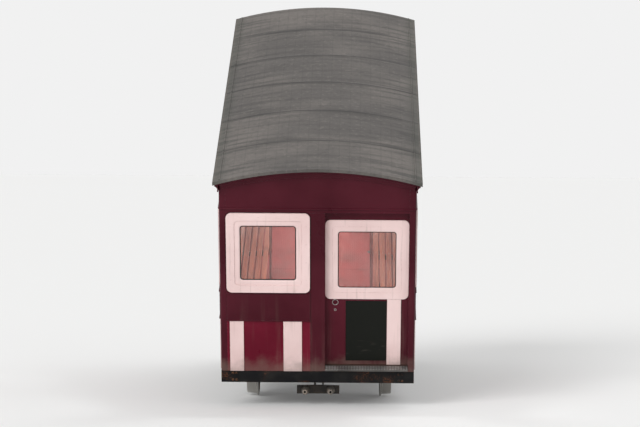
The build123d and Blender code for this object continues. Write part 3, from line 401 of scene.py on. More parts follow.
# %% [markdown]
# ## The roof and the ceiling
# The roof is canvas bedded in paint over boards: lapped seams cross it, the boards show faintly along
# it, and rain draws soot down to the eaves in streaks. Its underside is the cabin's ceiling. A point
# belongs to one or the other by its distance from the centre line of the arch, so the roof needs no
# second piece.

# %% Painted canvas
SEAM_EVERY, ROOF_BOARD, CEILING_BOARD = 0.92, 0.112, 0.100
LAP_W, CAUGHT_W, STREAK_X, EAVES_X = (0.006, 0.022), (0.085, 0.015), (0.15, 1.10), (0.93, 1.09)


def canvas_skin(f, soot, to_seam, lap, board):
    """The colour of the roof's top: tones, streaks, specks, soot at the seams and the boards."""
    tone = ramp(f.cloud(0.9, 7), 0.38, 0.62)
    streak = ramp(soot, 0.44, 0.66) * blend(ramp(abs(f.x), *STREAK_X), 0.35, 0.85)
    speck = f.cloud(21, 8)
    caught = ramp(to_seam, *CAUGHT_W) * ramp(soot, 0.35, 0.6)
    skin = layers(
        mix(tone, (0.142, 0.128, 0.118), (0.096, 0.088, 0.083)),
        (streak, (0.066, 0.063, 0.060)),
        (ramp(speck, 0.56, 0.68) * 0.20, (0.235, 0.215, 0.190)),
        (ramp(speck, 0.44, 0.34) * 0.26, (0.052, 0.049, 0.046)),
        (ramp(abs(f.x), *EAVES_X) * 0.45, (0.075, 0.078, 0.066)),
        (caught * 0.55, (0.050, 0.047, 0.044)),
        (blend(board, 0.16, 0), (0.040, 0.038, 0.036)),
    )
    return mix(lap, mix(0.6, skin, (0.035, 0.034, 0.033)), skin)


def canvas_roof():
    f = Finish("painted_canvas_roof", (0.17, 0.18, 0.165), 0.8, Specular_IOR_Level=0.3)
    soot = f.cloud(1, 7, (1.3, 12, 1.3))
    to_seam = f.y.fold(SEAM_EVERY / 2)
    lap = ramp(to_seam, *LAP_W)
    board = ramp(f.x.fold(ROOF_BOARD / 2), 0, 0.009)
    groove = ramp(f.x.fold(CEILING_BOARD / 2), 0, GROOVE_W)
    cabin = (abs(f.x) < HALF_W) * (abs(f.y) < HALF_L)
    ceiling = mix(ramp(soot, 0.3, 0.8), CREAM, (0.70, 0.60, 0.50))
    ceiling = mix(groove, (0.30, 0.24, 0.19), ceiling)
    ceiling = mix(cabin, (0.040, 0.028, 0.027), ceiling)
    under = length(X=f.x, Z=f.z - ARCH_Z) < ARCH_R + 0.001
    wrinkle = f.cloud(1, 4, (7, 11, 7))
    top = lap * -0.8 + f.cloud(90, 3) * 0.18 + (wrinkle * 0.30 + board * 0.22)
    f.colour(mix(under, canvas_skin(f, soot, to_seam, lap, board), ceiling))
    f.roughness(soot, 0.62, 0.9)
    f.bump(blend(under, top, groove), 0.004, soft=0.006)
    return f.material


canvas = canvas_roof()
print("canvas seams every", SEAM_EVERY, "m")

# %% [markdown]
# ## The underframe's black paint
# The wedge is black paint over rolled steel. Rust starts at its edges and breaks through in blooms, and
# dust lies on whatever faces up. That is read from the normal, so one paint serves level and sloping
# flanges.

# %% Underframe black
def black_paint():
    f = Finish("underframe_black", (0.012, 0.012, 0.013), 0.5, Specular_IOR_Level=0.15)
    blot = f.cloud(6, 6)
    skin = mix(ramp(blot, 0.35, 0.7), (0.006, 0.006, 0.007), (0.017, 0.016, 0.015))
    bloom = ramp(f.cloud(4, 8), 0.54, 0.68) * ramp(f.cloud(55, 6), 0.44, 0.60)
    skin = mix(bloom * 0.75, skin, (0.135, 0.048, 0.020))
    rust = f.edges(0.007) * ramp(f.cloud(24, 5), 0.42, 0.58)
    skin = mix(rust * 0.75, skin, (0.20, 0.085, 0.038))
    faces_up = feed("ShaderNodeSeparateXYZ", f.normal())["Z"]
    dust = ramp(faces_up, 0.4, 0.95) * ramp(blot, 0.25, 0.6)
    f.colour(mix(dust * 0.5, skin, (0.16, 0.135, 0.115)))
    f.roughness(blot + dust * 0.4, 0.36, 0.78)
    f.bump(f.cloud(40, 5), 0.0012, soft=0.004)
    return f.material


underframe = black_paint()
print("underframe:", underframe.name)

# %% [markdown]
# ## Wheels
# The tread is bright from rolling, the rim is brown, and the spokes keep their paint and catch oil from
# the boxes. So all of it hangs on one number, the distance from the axle's line, and the pattern turns
# with the wheel.

# %% Wheel steel
OIL_R, RIM_R, TREAD_EDGE_R = (0.17, 0.08), (0.200, 0.214), (0.2375, 0.2435)


def wheel_steel(end_name, end):
    f = Finish("wheel_steel_" + end_name, (0.2, 0.19, 0.18), 0.4)
    axle_y, axle_z = on_slope(end * AXLE_S, TREAD_R)
    radius = length(Y=f.y - axle_y, Z=f.z - axle_z)
    blot = f.cloud(15, 6)
    oil = ramp(radius, *OIL_R) * ramp(blot, 0.3, 0.55)
    paint = mix(ramp(blot, 0.4, 0.7), (0.030, 0.026, 0.024), (0.085, 0.050, 0.034))
    paint = mix(oil, paint, (0.008, 0.007, 0.006))
    brown = mix(ramp(blot, 0.35, 0.65), (0.10, 0.052, 0.030), (0.185, 0.105, 0.065))
    tread = ramp(radius, *TREAD_EDGE_R)
    f.colour(mix(tread, mix(ramp(radius, *RIM_R), paint, brown), (0.40, 0.385, 0.36)))
    give(f.inputs["Metallic"], tread)
    f.roughness(1 - tread * (blot + 0.55), 0.18, 0.72)
    f.bump(blot, 0.0012, soft=0.003)
    return f.material


wheel_steels = {end_name: wheel_steel(end_name, end) for end_name, end in ENDS.items()}
print("wheels:", [steel.name for steel in wheel_steels.values()])

# %% [markdown]
# ## Castings, forgings and bright steel
# Axleboxes and buffers are cast, with a coarse skin. Draw bars and axles are forged, smoother and paler.
# Rims, poles and step plates are bright, and scratched along one direction. These are two recipes with
# different numbers, so six metals come from two functions.

# %% Iron and bright steel
def iron(name, low, high, shine, depth):
    """Cast or forged iron, with its edges worn brown."""
    f = Finish(name, low, shine, Specular_IOR_Level=0.45)
    blot = f.cloud(11, 6)
    worn = f.edges(0.005) * ramp(f.cloud(30, 4), 0.42, 0.6)
    f.colour(mix(worn * 0.6, mix(ramp(blot, 0.35, 0.68), low, high), (0.22, 0.13, 0.085)))
    f.roughness(blot, shine * 0.7, min(0.95, shine * 1.5))
    f.bump(f.cloud(85, 4), depth, soft=0.003)
    return f.material


def bright_steel(name, colour, shine, stretch):
    """Bright steel, with scratches drawn out by the stretch and duller patches between."""
    f = Finish(name, colour, shine, Metallic=1)
    scratch, patch = f.cloud(1, 5, stretch), f.cloud(6, 4)
    f.colour(mix(ramp(patch, 0.35, 0.7), colour, shaded(colour, 0.62)))
    f.roughness(scratch * 0.6 + patch * 0.4, shine * 0.6, shine * 1.7)
    f.bump(scratch, 0.0004, soft=0.0015)
    return f.material


casting = iron("cast_iron_skin", (0.040, 0.036, 0.033), (0.085, 0.066, 0.052), 0.5, 0.0016)
forging = iron("rope_gear_steel", (0.13, 0.115, 0.10), (0.24, 0.20, 0.165), 0.42, 0.0007)
axle_steel = iron("axle_steel", (0.11, 0.085, 0.068), (0.19, 0.145, 0.115), 0.42, 0.0006)
step_steel = bright_steel("trodden_steel", (0.20, 0.19, 0.18), 0.42, (40, 90, 40))
handled_steel = bright_steel("handled_steel", (0.52, 0.51, 0.49), 0.30, (12, 160, 160))
pole_steel = bright_steel("polished_poles", (0.62, 0.61, 0.58), 0.18, (120, 120, 6))
print("metals:", casting.name, forging.name, axle_steel.name, handled_steel.name)

# %% [markdown]
# ## Wood and the floor covering
# The seats are varnished slats with the grain along the car, so their cloud is squeezed across it. The
# floor covering is a ribbed red sheet in lengths, paler where feet pass. From below one sees tarred
# boards instead, told apart by height.

# %% Slats and floor covering
SHEET_L, FLOOR_BOARD, RIB_W, SHEET_END_Y, PATH_X = 1.22, 0.14, 0.024, 2.515, (0.62, 0.15)


def slat_wood():
    f = Finish("varnished_slats", (0.40, 0.12, 0.07), 0.28, Coat_Weight=0.35, Coat_Roughness=0.12)
    grain, board = f.cloud(1, 6, (75, 3.2, 75)), f.cloud(1, 1, (13, 0.25, 13))
    skin = mix(ramp(grain, 0.3, 0.72), (0.45, 0.135, 0.082), (0.215, 0.052, 0.032))
    f.colour(mix(ramp(board, 0.4, 0.62), skin, mix(0.4, skin, (0.56, 0.215, 0.145))))
    f.roughness(grain, 0.2, 0.42)
    f.bump(grain, 0.0005, soft=0.003)
    return f.material


def floor_sheet():
    f = Finish("red_floor_covering", ROSE, 0.55)
    path = ramp(abs(f.x), *PATH_X)
    scuff = f.cloud(1, 6, (14, 3, 3))
    skin = mix(ramp(scuff, 0.35, 0.7), (0.48, 0.096, 0.090), (0.38, 0.070, 0.066))
    skin = mix(path * ramp(scuff, 0.4, 0.62), skin, (0.56, 0.170, 0.155))
    skin = mix(ramp(f.cloud(2.4, 8), 0.46, 0.68) * 0.5, skin, (0.20, 0.085, 0.072))
    skin = mix(ramp(f.y.fold(SHEET_L / 2), 0, 0.006), (0.09, 0.03, 0.026), skin)
    tarred = mix(ramp(scuff, 0.35, 0.7), (0.040, 0.031, 0.026), (0.085, 0.064, 0.050))
    tarred = mix(ramp(f.y.fold(FLOOR_BOARD / 2), 0, 0.005), (0.006, 0.005, 0.005), tarred)
    skin = mix(f.z < SILL_TOP_Z + 0.004, skin, tarred)
    f.colour(mix(abs(f.y) > SHEET_END_Y, skin, (0.075, 0.040, 0.030)))
    f.roughness(scuff, 0.4, 0.75)
    f.bump(ramp(f.x.fold(RIB_W / 2), 0, 0.004), 0.0012)
    return f.material


wood, floor_cover = slat_wood(), floor_sheet()
print("floor covering in lengths of", SHEET_L, "m")

# %% [markdown]
# ## Rubber and lamp bowls
# Seals and buffer pads are black rubber, greyed in blots. The lamp bowls are dusty opal glass. Light
# goes a little way into it, so it has a share of subsurface light and is no plain white.

# %% Rubber and opal glass
def rubber():
    f = Finish("black_rubber", (0.02, 0.02, 0.02), 0.7, Specular_IOR_Level=0.3)
    blot = f.cloud(25, 4)
    f.colour(mix(ramp(blot, 0.4, 0.7), (0.016, 0.016, 0.016), (0.05, 0.047, 0.043)))
    f.roughness(blot, 0.55, 0.85)
    f.bump(blot, 0.0008)
    return f.material


def lamp_bowl():
    f = Finish("opal_lamp", (0.86, 0.84, 0.78), 0.25, Subsurface_Weight=0.2)
    dust = ramp(f.cloud(20, 4), 0.45, 0.75)
    f.colour(mix(dust, (0.88, 0.86, 0.80), (0.70, 0.65, 0.56)))
    f.roughness(dust, 0.2, 0.4)
    return f.material


black_rubber, opal = rubber(), lamp_bowl()
print("rubber and lamps:", black_rubber.name, opal.name)

# %% [markdown]
# ## Window glass
# Most light goes through glass, a little is mirrored at a slant, and a film of dust catches the rest. A
# Transparent shader with a Glossy one over it gives that, and lets daylight into the cabin. The mirror's
# share is 4% head on and rises with the fifth power of the slant. The Fresnel node would do the same on
# the outer face, but on the way out of a pane it turns to a full mirror past 43 degrees.

# %% Glass
HEAD_ON_SHINE = 0.04


def window_pane():
    material = bpy.data.materials.new("window_pane")
    tree = clean_tree(material)
    clear = put(tree, "ShaderNodeBsdfTransparent", Color=(0.93, 0.955, 0.95))
    mirror = put(tree, "ShaderNodeBsdfGlossy", Color=(1, 1, 1), Roughness=0.03)
    film = put(tree, "ShaderNodeBsdfDiffuse", Color=(0.66, 0.52, 0.50))
    slant = put(tree, "ShaderNodeLayerWeight", Blend=0.5)["Facing"]
    pane = over(slant ** 5 * (1 - HEAD_ON_SHINE) + HEAD_ON_SHINE, clear, mirror)
    where = put(tree, "ShaderNodeTexCoord")["Object"]
    dust = feed("ShaderNodeTexNoise", where, Scale=2.6, Detail=6)
    feed("ShaderNodeOutputMaterial", over(ramp(dust, 0.35, 0.8) * 0.09 + 0.025, pane, film))
    return material


glass = window_pane()
print("glass:", glass.name)

# %% [markdown]
# ## Dressing the CAD pieces
# The CAD pieces have their shapes, so they only need their finish. Their meshes stay as they came, and
# the material goes into the slot. A table from finish to piece names is easier to check than fifty
# separate lines. A name that ends in _ stands for the piece at each end.

# %% Finish by piece
dress = {
    crimson: "side_panels_lower end_panels_lower",
    dark_crimson: "side_panels_upper end_panels_upper end_headers body_posts waist_bands roof_cornice",
    door_paint: "door_leaf_",
    cream: "window_frames panel_strips door_frame_",
    black_panel: "door_panel_",
    canvas: "roof",
    underframe: "sole_bars rail_girders frame_posts frame_gussets frame_braces cross_members "
                "floor_bearers headstocks draw_hangers brake_rigging",
    casting: "axleboxes brake_slippers buffers draw_beam bench_frames",
    forging: "draw_bars rope_sockets",
    axle_steel: "axle_",
    wheel_steels["uphill"]: "wheels_uphill",
    wheel_steels["downhill"]: "wheels_downhill",
    handled_steel: "door_tracks door_fittings_",
    step_steel: "door_sills",
    pole_steel: "grab_poles",
    wood: "bench_slats",
    floor_cover: "floor",
    black_rubber: "buffer_pads",
    opal: "ceiling_lamps",
    glass: "window_glass door_glass_",
}
bare = set(nodes)
for material, text in dress.items():
    for word in text.split():
        for name in [word + end_name for end_name in ENDS] if word.endswith("_") else [word]:
            for place in nodes[name].material_slots:
                place.material = material
            bare.remove(name)
print("pieces without a finish:", sorted(bare))

# %% [markdown]
# ## Trees with named inputs
# Rivets, bolts and tacks repeat, and beads and seals follow a line. Both are rules, so both are Geometry
# Nodes trees with named inputs for their sizes and their finish. The last steps make the copies real and
# give them their material, because an exported file has no instances.

# %% Opening and closing a tree
def open_tree(name, **inputs):
    """A new tree with a geometry and the named inputs, which the wire of its input node gives."""
    tree = bpy.data.node_groups.new(name, "GeometryNodeTree")
    for label, kind in {"Geometry": "Geometry", **inputs}.items():
        tree.interface.new_socket(label.replace("_", " "), in_out="INPUT", socket_type="NodeSocket" + kind)
    tree.interface.new_socket("Geometry", in_out="OUTPUT", socket_type="NodeSocketGeometry")
    return put(tree, "NodeGroupInput")


def close_tree(geometry, finish):
    """Makes the copies real, gives them their finish, ends the tree and hands it back."""
    real = feed("GeometryNodeRealizeInstances", geometry)
    feed("NodeGroupOutput", feed("GeometryNodeSetMaterial", real, Material=finish))
    return real.tree


print("trees can be opened and closed")

# %% [markdown]
# ## A tree for every head
# A head is set at many points, each turned to face out of its plate. By hand that takes thousands of
# steps, and again whenever a plate moves. So the points carry a facing vector, and the tree turns a head
# to each. A random turn, with a fixed seed, keeps hexagons from looking stamped.

# %% The stud trees
HEX_PARTS = ((6, 1.0, 0.0, 1.0), (14, 1.35, 0.0, 0.22), (8, 0.5, 0.5, 1.35))
LOZENGE_SHARE = 0.36


def head_of(tree, shape):
    """A head of radius and height 1. A hexagon head is a nut, its washer and the bolt's end."""
    parts = []
    if shape == "hex":
        for sides, r, low, high in HEX_PARTS:
            post = put(tree, "GeometryNodeMeshCylinder", Vertices=sides, Radius=r, Depth=high - low)
            parts.append(feed("GeometryNodeTransform", post, Translation=(0, 0, (low + high) / 2)))
    else:
        segments, rings = (12, 6) if shape == "dome" else (4, 4)
        parts.append(put(tree, "GeometryNodeMeshUVSphere", Segments=segments, Rings=rings, Radius=1))
    return put(tree, "GeometryNodeJoinGeometry", parts)


def turn_at_points(sizes):
    """The rotation that faces a head out of its plate, after a random turn about its own axis."""
    facing = put(sizes.tree, "GeometryNodeInputNamedAttribute", data_type="FLOAT_VECTOR", Name="facing")
    aim = feed("FunctionNodeAlignRotationToVector", axis="Z", Vector=facing)
    chance = feed("FunctionNodeRandomValue", data_type="FLOAT", Max=sizes["Turn"], Seed=sizes["Seed"])
    spin = feed("FunctionNodeAxisAngleToRotation", Axis=(0, 0, 1), Angle=chance)
    return feed("FunctionNodeRotateRotation", aim, spin, rotation_space="LOCAL")


def studs_tree(name, shape):
    """A tree that sets a head on each point. Shape is dome, hex or lozenge."""
    inputs = {"Head_Radius": "Float", "Head_Height": "Float", "Turn": "Float", "Seed": "Int"}
    sizes = open_tree(name, **inputs, Finish="Material")
    wide = sizes["Head Radius"]
    narrow = wide * (LOZENGE_SHARE if shape == "lozenge" else 1)
    size = feed("ShaderNodeCombineXYZ", wide, narrow, sizes["Head Height"])
    head = feed("GeometryNodeTransform", head_of(sizes.tree, shape), Scale=size)
    head = feed("GeometryNodeSetShadeSmooth", head, Shade_Smooth=shape == "dome")
    points = feed("GeometryNodeMeshToPoints", sizes["Geometry"])
    turn = turn_at_points(sizes)
    heads = feed("GeometryNodeInstanceOnPoints", points, Instance=head, Rotation=turn)
    return close_tree(heads, sizes["Finish"])


rivet_tree = studs_tree("dome_heads", "dome")
bolt_tree = studs_tree("hexagon_heads", "hex")
tread_tree = studs_tree("tread_lozenges", "lozenge")
print("stud trees:", rivet_tree.name, bolt_tree.name, tread_tree.name)

# %% [markdown]
# ## A tree for every moulding
# Seals, beads, ribs and bands are a small section carried along a line. A curve with a bevel would do
# for one, but a tree takes any mesh of lines and gives closed bodies at once. A round section may turn
# as it likes. A flat one is kept upright.

# %% The bead trees
def bead_tree(name, section):
    """A tree that carries a section along every line of a mesh. Section is round or flat."""
    sizes = open_tree(name, Width="Float", Height="Float", Finish="Material")
    mode = "Z_UP" if section == "flat" else "MINIMUM_TWIST"
    line = feed("GeometryNodeSetCurveNormal", feed("GeometryNodeMeshToCurve", sizes["Geometry"]), mode=mode)
    if section == "round":
        outline = feed("GeometryNodeCurvePrimitiveCircle", Resolution=8, Radius=sizes["Width"] * 0.5)
    else:
        size = {"Width": sizes["Width"], "Height": sizes["Height"]}
        outline = feed("GeometryNodeCurvePrimitiveQuadrilateral", **size)
    body = feed("GeometryNodeCurveToMesh", line, Profile_Curve=outline, Fill_Caps=True)
    smooth = feed("GeometryNodeSetShadeSmooth", body, Shade_Smooth=section == "round")
    return close_tree(smooth, sizes["Finish"])


round_bead, flat_bead = bead_tree("round_bead", "round"), bead_tree("flat_bead", "flat")
print("bead trees:", round_bead.name, flat_bead.name)

# %% [markdown]
# ## Growing a piece
# A tree needs an object to work on: a mesh of points with their facing vectors, or of lines. The
# modifier's inputs are set by their identifiers before the object is first evaluated. The result is
# copied to a plain mesh, which rides on its body of the car, and the helper is thrown away.

# %% Growing
def new_mesh(name, places, joins=(), faces=()):
    mesh = bpy.data.meshes.new(name)
    mesh.from_pydata(places, joins, faces)
    return mesh


def add_object(name, data):
    thing = bpy.data.objects.new(name, data)
    bpy.context.scene.collection.objects.link(thing)
    return thing


def add_piece(name, mesh, body):
    """A finished mesh as a piece of the car, on one of its bodies."""
    piece = add_object(name, mesh)
    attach(piece, body)
    print(name, "on", body, "faces:", len(mesh.polygons))


def grow(name, mesh, tree, body, slot, **inputs):
    """Runs a tree on a mesh and adds what comes out."""
    helper = add_object("helper", mesh)
    modifier = helper.modifiers.new("Grow", "NODES")
    modifier.node_group = tree
    for socket in tree.interface.items_tree:
        label = socket.name.replace(" ", "_")
        if socket.in_out == "INPUT" and label in inputs:
            modifier[socket.identifier] = inputs[label]
    ready = bpy.context.evaluated_depsgraph_get()
    plain = bpy.data.meshes.new_from_object(helper.evaluated_get(ready), depsgraph=ready)
    bpy.data.objects.remove(helper)
    add_piece(name, plain, body)


print("a tree's result can be made a piece")

# %% Studs and beads
ANY_TURN = 6.283


def studs(name, points, slot, finish, radius, height, tree=rivet_tree, turn=ANY_TURN):
    """Heads on points, each a place and a facing."""
    mesh = new_mesh("points", [place for place, _ in points])
    facing = mesh.attributes.new("facing", "FLOAT_VECTOR", "POINT")
    facing.data.foreach_set("vector", [c for _, out in points for c in out])
    sizes = {"Head_Radius": radius, "Head_Height": height, "Turn": turn, "Seed": 7}
    grow(name, mesh, tree, "car", slot, Finish=finish, **sizes)


def beads(name, lines, slot, finish, width, height=0.0, body="car"):
    """Mouldings along lines, each the points and whether they close. With a height they are flat."""
    places, joins = [], []
    for line, closed in lines:
        first = len(places)
        places += line
        joins += [(first + k, first + k + 1) for k in range(len(line) - 1)]
        if closed:
            joins.append((len(places) - 1, first))
    tree = flat_bead if height else round_bead
    sizes = {"Width": width, "Height": height}
    grow(name, new_mesh("lines", places, joins), tree, body, slot, Finish=finish, **sizes)


print("studs and beads can be grown")

# %% [markdown]
# ## Rivets of the wedge
# Each gusset is riveted to the girder, to the post and to the sole bar. A row of rivets is a
# rule, not a drawing: a spacing and an offset from the edge, repeated at every post. At the
# nose, where the girder runs up into the sole bar, the row stops.

# %% Rivets on the gussets
FIRST_POST_S, POST_W, POSTS = -1.290, 0.074, 5
GUSSET_X = face("frame_gussets", "+x")
ROW, COLUMNS, STEPS = (-0.095, -0.047, 0.0, 0.047, 0.095), (-0.020, 0.020), (0.035, 0.080, 0.125)
LOW_ROW_UP, TOP_ROW_DOWN, SILL_ROW_UP, NOSE_ROW = 0.040, 0.020, 0.045, (-2.50, -1.73, 12)
LAST_RIVET_Y = HALF_L - 0.015
NOSE_Y = (GIRDER_LOW_H - SILL_Z * COS) / SIN
first_post_y = on_slope(FIRST_POST_S, GIRDER_TOP_H)[0]
POST_YS = [round(y, 4) for y in spread(first_post_y, HALF_L - POST_W / 2, POSTS)]
rivets = []
for side in (-1, 1):
    x, out = side * GUSSET_X, (side, 0, 0)
    for y in POST_YS:
        for along in (y + step for step in ROW if y + step < LAST_RIVET_Y):
            rivets.append(((x, along, slope_z(along, GIRDER_LOW_H + LOW_ROW_UP)), out))
            rivets.append(((x, along, slope_z(along, GIRDER_TOP_H - TOP_ROW_DOWN)), out))
            rivets.append(((x, along, SILL_Z + SILL_ROW_UP), out))
        for column in COLUMNS:
            for step in STEPS:
                rivets.append(((x, y + column, slope_z(y, GIRDER_TOP_H) + step), out))
                rivets.append(((x, y + column, SILL_Z - step), out))
    for y in spread(*NOSE_ROW):
        rivets.append(((x, y, SILL_TOP_Z - SILL_ROW_UP), out))
        if y > NOSE_Y:
            rivets.append(((x, y, slope_z(y, GIRDER_LOW_H + SILL_ROW_UP)), out))
studs("gusset_rivets", rivets, "black_paint", underframe, 0.0105, 0.0075)

# %% [markdown]
# ## Bolts
# What has to come off for repair is bolted: the axleboxes and their covers, the buffers, the brake
# links, the cross members, the braces and the headstocks. Each group is a small pattern round the thing
# it holds. Hexagon heads with washers read as bolts from a step away.

# %% Bolts of the boxes, the buffers and the brakes
FRAME_X, BOX_COVER_X, LOW_BEAM_T = 0.9035, face("axleboxes", "+x"), 0.060
BOX_FOOT_T, FOOT_BOLT_S, FOOT_BOLT_X, COVER_BOLT_R = 0.022, 0.120, 0.030, 0.046
BUFFER_X, BUFFER_BOLT_X, BUFFER_BOLT_Z = 0.620, 0.080, 0.074
LINK_X, LINK_SS, LINK_BOLT_S, LINK_BOLT_H = 0.8055, (-0.215, 0.155), 0.015, 0.050
low_beam_z = slope_z(HALF_L, (GIRDER_LOW_H + GIRDER_TOP_H) / 2)


def running_bolts(side):
    """The bolts on one side that hold the axleboxes, their covers, the buffer and the brake."""
    bolts, outwards = [], (side, 0, 0)
    for s in both(AXLE_S):
        for along in both(FOOT_BOLT_S):
            place = on_slope(s + along, GIRDER_LOW_H - BOX_FOOT_T)
            for across in both(FOOT_BOLT_X):
                bolts.append(((side * (FRAME_X + across), *place), (0, -SIN, -COS)))
        for a in (radians(60 * k) for k in range(6)):
            place = on_slope(s + COVER_BOLT_R * sin(a), TREAD_R + COVER_BOLT_R * cos(a))
            bolts.append(((side * BOX_COVER_X, *place), outwards))
    for across in both(BUFFER_BOLT_X):
        for up in both(BUFFER_BOLT_Z):
            bolts.append(((side * BUFFER_X + across, HALF_L + LOW_BEAM_T, low_beam_z + up), (0, 1, 0)))
    for s in LINK_SS:
        for along in both(LINK_BOLT_S):
            bolts.append(((side * LINK_X, *on_slope(s + along, LINK_BOLT_H)), outwards))
    return bolts


print("bolts of the running gear on one side:", len(running_bolts(1)))

# %% Bolts of the wedge
CROSS_SS, CROSS_PLATE, CROSS_IN, CROSS_BOLT_S = spread(-1.300, 2.240, 5), 0.010, 0.040, 0.055
BRACE_T, BRACE_IN, BRACE_BOLTS = 0.012, 0.066, (0.035, 0.085)
GIRDER_IN_X, LOW_BEAM_PLATE = face("cross_members", "+x"), 0.012
HEAD_BOLT_X, HEAD_BOLT_UPS, BEAM_BOLT_Z = 0.02, (0.03, 0.11), 0.05


def wedge_bolts(side):
    """The bolts on one side that hold the cross members, the braces and the headstocks."""
    bolts, inwards = [], (-side, 0, 0)
    for s in CROSS_SS:
        for along in both(CROSS_BOLT_S):
            for h in (GIRDER_LOW_H + CROSS_IN, GIRDER_TOP_H - CROSS_IN):
                bolts.append(((side * (GIRDER_IN_X - CROSS_PLATE), *on_slope(s + along, h)), inwards))
    for y0, y1 in zip(POST_YS, POST_YS[1:]):
        high = Vector((side * (GIRDER_IN_X - BRACE_T), y0, SILL_Z - BRACE_IN))
        low = Vector((high.x, y1, slope_z(y1, GIRDER_TOP_H) + BRACE_IN))
        run = (low - high).normalized()
        bolts += [(tuple(high + run * far), inwards) for far in BRACE_BOLTS]
        bolts += [(tuple(low - run * far), inwards) for far in BRACE_BOLTS]
    for x in (side * (FRAME_X + across) for across in both(HEAD_BOLT_X)):
        for up in HEAD_BOLT_UPS:
            bolts += [((x, end * HALF_L, SILL_Z + up), (0, end, 0)) for end in (-1, 1)]
        for up in both(BEAM_BOLT_Z):
            bolts.append(((x, HALF_L + LOW_BEAM_PLATE, low_beam_z + up), (0, 1, 0)))
    return bolts


bolts = [bolt for side in (-1, 1) for bolt in running_bolts(side) + wedge_bolts(side)]
studs("frame_bolts", bolts, "black_paint", underframe, 0.0115, 0.009, bolt_tree)

# %% [markdown]
# ## Places on a wall
# Everything round a window is a rectangle with rounded corners, laid flat on a side, an end or a door.
# So windows are given once, by their limits along the wall and in height, and three functions turn a
# place on a wall, with its distance out, into x, y and z.

# %% Windows and walls
DOOR_DROP, DOOR_BAR = 0.100, 0.076
SIDE_WINDOWS = [(y - BAY_HALF, y + BAY_HALF, FRAME_Z0, FRAME_Z1) for y in BAY_YS]
END_WINDOW = (END_X0, END_X1, FRAME_Z0, FRAME_Z1)
DOOR_WINDOW = (-END_X1, -END_X0, FRAME_Z0 - DOOR_DROP, FRAME_Z1 - DOOR_DROP)


def on_side(side, u, z, out):
    return side * (HALF_W + out), u, z


def on_end(end, u, z, out):
    """U is x at the uphill end, and the downhill end is the same one turned half round."""
    return -end * u, end * (HALF_L + out), z


def on_door(end, u, z, out):
    return -end * u, end * (out - DOOR_Y), z


def loop(u0, u1, z0, z1, radius, inset=0.0, steps=6):
    """A rectangle with rounded corners, as pairs of u and z. Inset draws it in all round."""
    m = inset + radius
    corners = ((u1 - m, z1 - m, 0), (u0 + m, z1 - m, 90), (u0 + m, z0 + m, 180), (u1 - m, z0 + m, 270))
    places = []
    for u, z, start in corners:
        for a in (radians(start + 90 * k / steps) for k in range(steps + 1)):
            places.append((u + radius * cos(a), z + radius * sin(a)))
    return places


def laid(wall, side, ring, out):
    """A ring of u and z laid on a wall, ready for the bead tree."""
    return [wall(side, u, z, out) for u, z in ring], True


print("windows:", 2 * BAYS, "in the sides, one and a door's in each end")

# %% [markdown]
# ## Window sashes
# Inside each fixed frame sits a sash, the inner frame that holds the pane and comes out when the pane
# breaks. It makes the cream round such windows thick. Its section, with a splayed inner edge that sheds
# the rain, runs all the way round. So the section is a few points, each with its distance in from the
# frame and its height off the glass. One loop is laid for each, and neighbouring loops are joined with
# faces.

# %% Sashes round the panes
SASH_W, SASH_T, DOOR_SASH_T, SASH_R = 0.060, 0.011, 0.006, 0.037
SPLAY_W, SASH_GAP = 0.014, 0.0005


def sash(window, bar, thick, wall, side):
    """The loops of one sash, placed on its wall."""
    back, edge = (SASH_GAP, SASH_GAP), (SASH_W, SASH_GAP)
    section = (back, (SASH_GAP, thick), (SASH_W - SPLAY_W, thick), (SASH_W, thick / 2), edge)
    rings = [(loop(*window, SASH_R - inset / 8, bar + inset), out) for inset, out in section]
    return [[wall(side, u, z, out) for u, z in ring] for ring, out in rings]


def add_sashes(name, body, parts):
    """One closed shell for each part's loops, all in one piece."""
    places, faces = [], []
    for loops in parts:
        first, count = len(places), len(loops[0])
        places += [place for ring in loops for place in ring]
        for a in range(len(loops)):
            here, there = first + a * count, first + (a + 1) % len(loops) * count
            for k in range(count):
                after = (k + 1) % count
                faces.append((here + k, here + after, there + after, there + k))
    mesh = new_mesh(name, places, faces=faces)
    shell = bmesh.new()
    shell.from_mesh(mesh)
    bmesh.ops.recalc_face_normals(shell, faces=shell.faces)
    shell.to_mesh(mesh)
    shell.free()
    mesh.materials.append(cream)
    add_piece(name, mesh, body)


fixed = []
for side in (-1, 1):
    fixed += [sash(window, FRAME_BAR, SASH_T, on_side, side) for window in SIDE_WINDOWS]
    fixed.append(sash(END_WINDOW, FRAME_BAR, SASH_T, on_end, side))
add_sashes("window_sashes", "car", fixed)
for end_name, end in ENDS.items():
    parts = [sash(DOOR_WINDOW, DOOR_BAR, DOOR_SASH_T, on_door, end)]
    add_sashes("door_sash_" + end_name, "door_" + end_name, parts)

# %% [markdown]
# ## Window seals and linings
# A pane sits in its sash on a dark rubber seal, and that thin line is what makes a window look like one.
# It follows the sash's inner edge, so it is a section carried round a rounded rectangle. Inside, the
# side windows have a varnished lining.

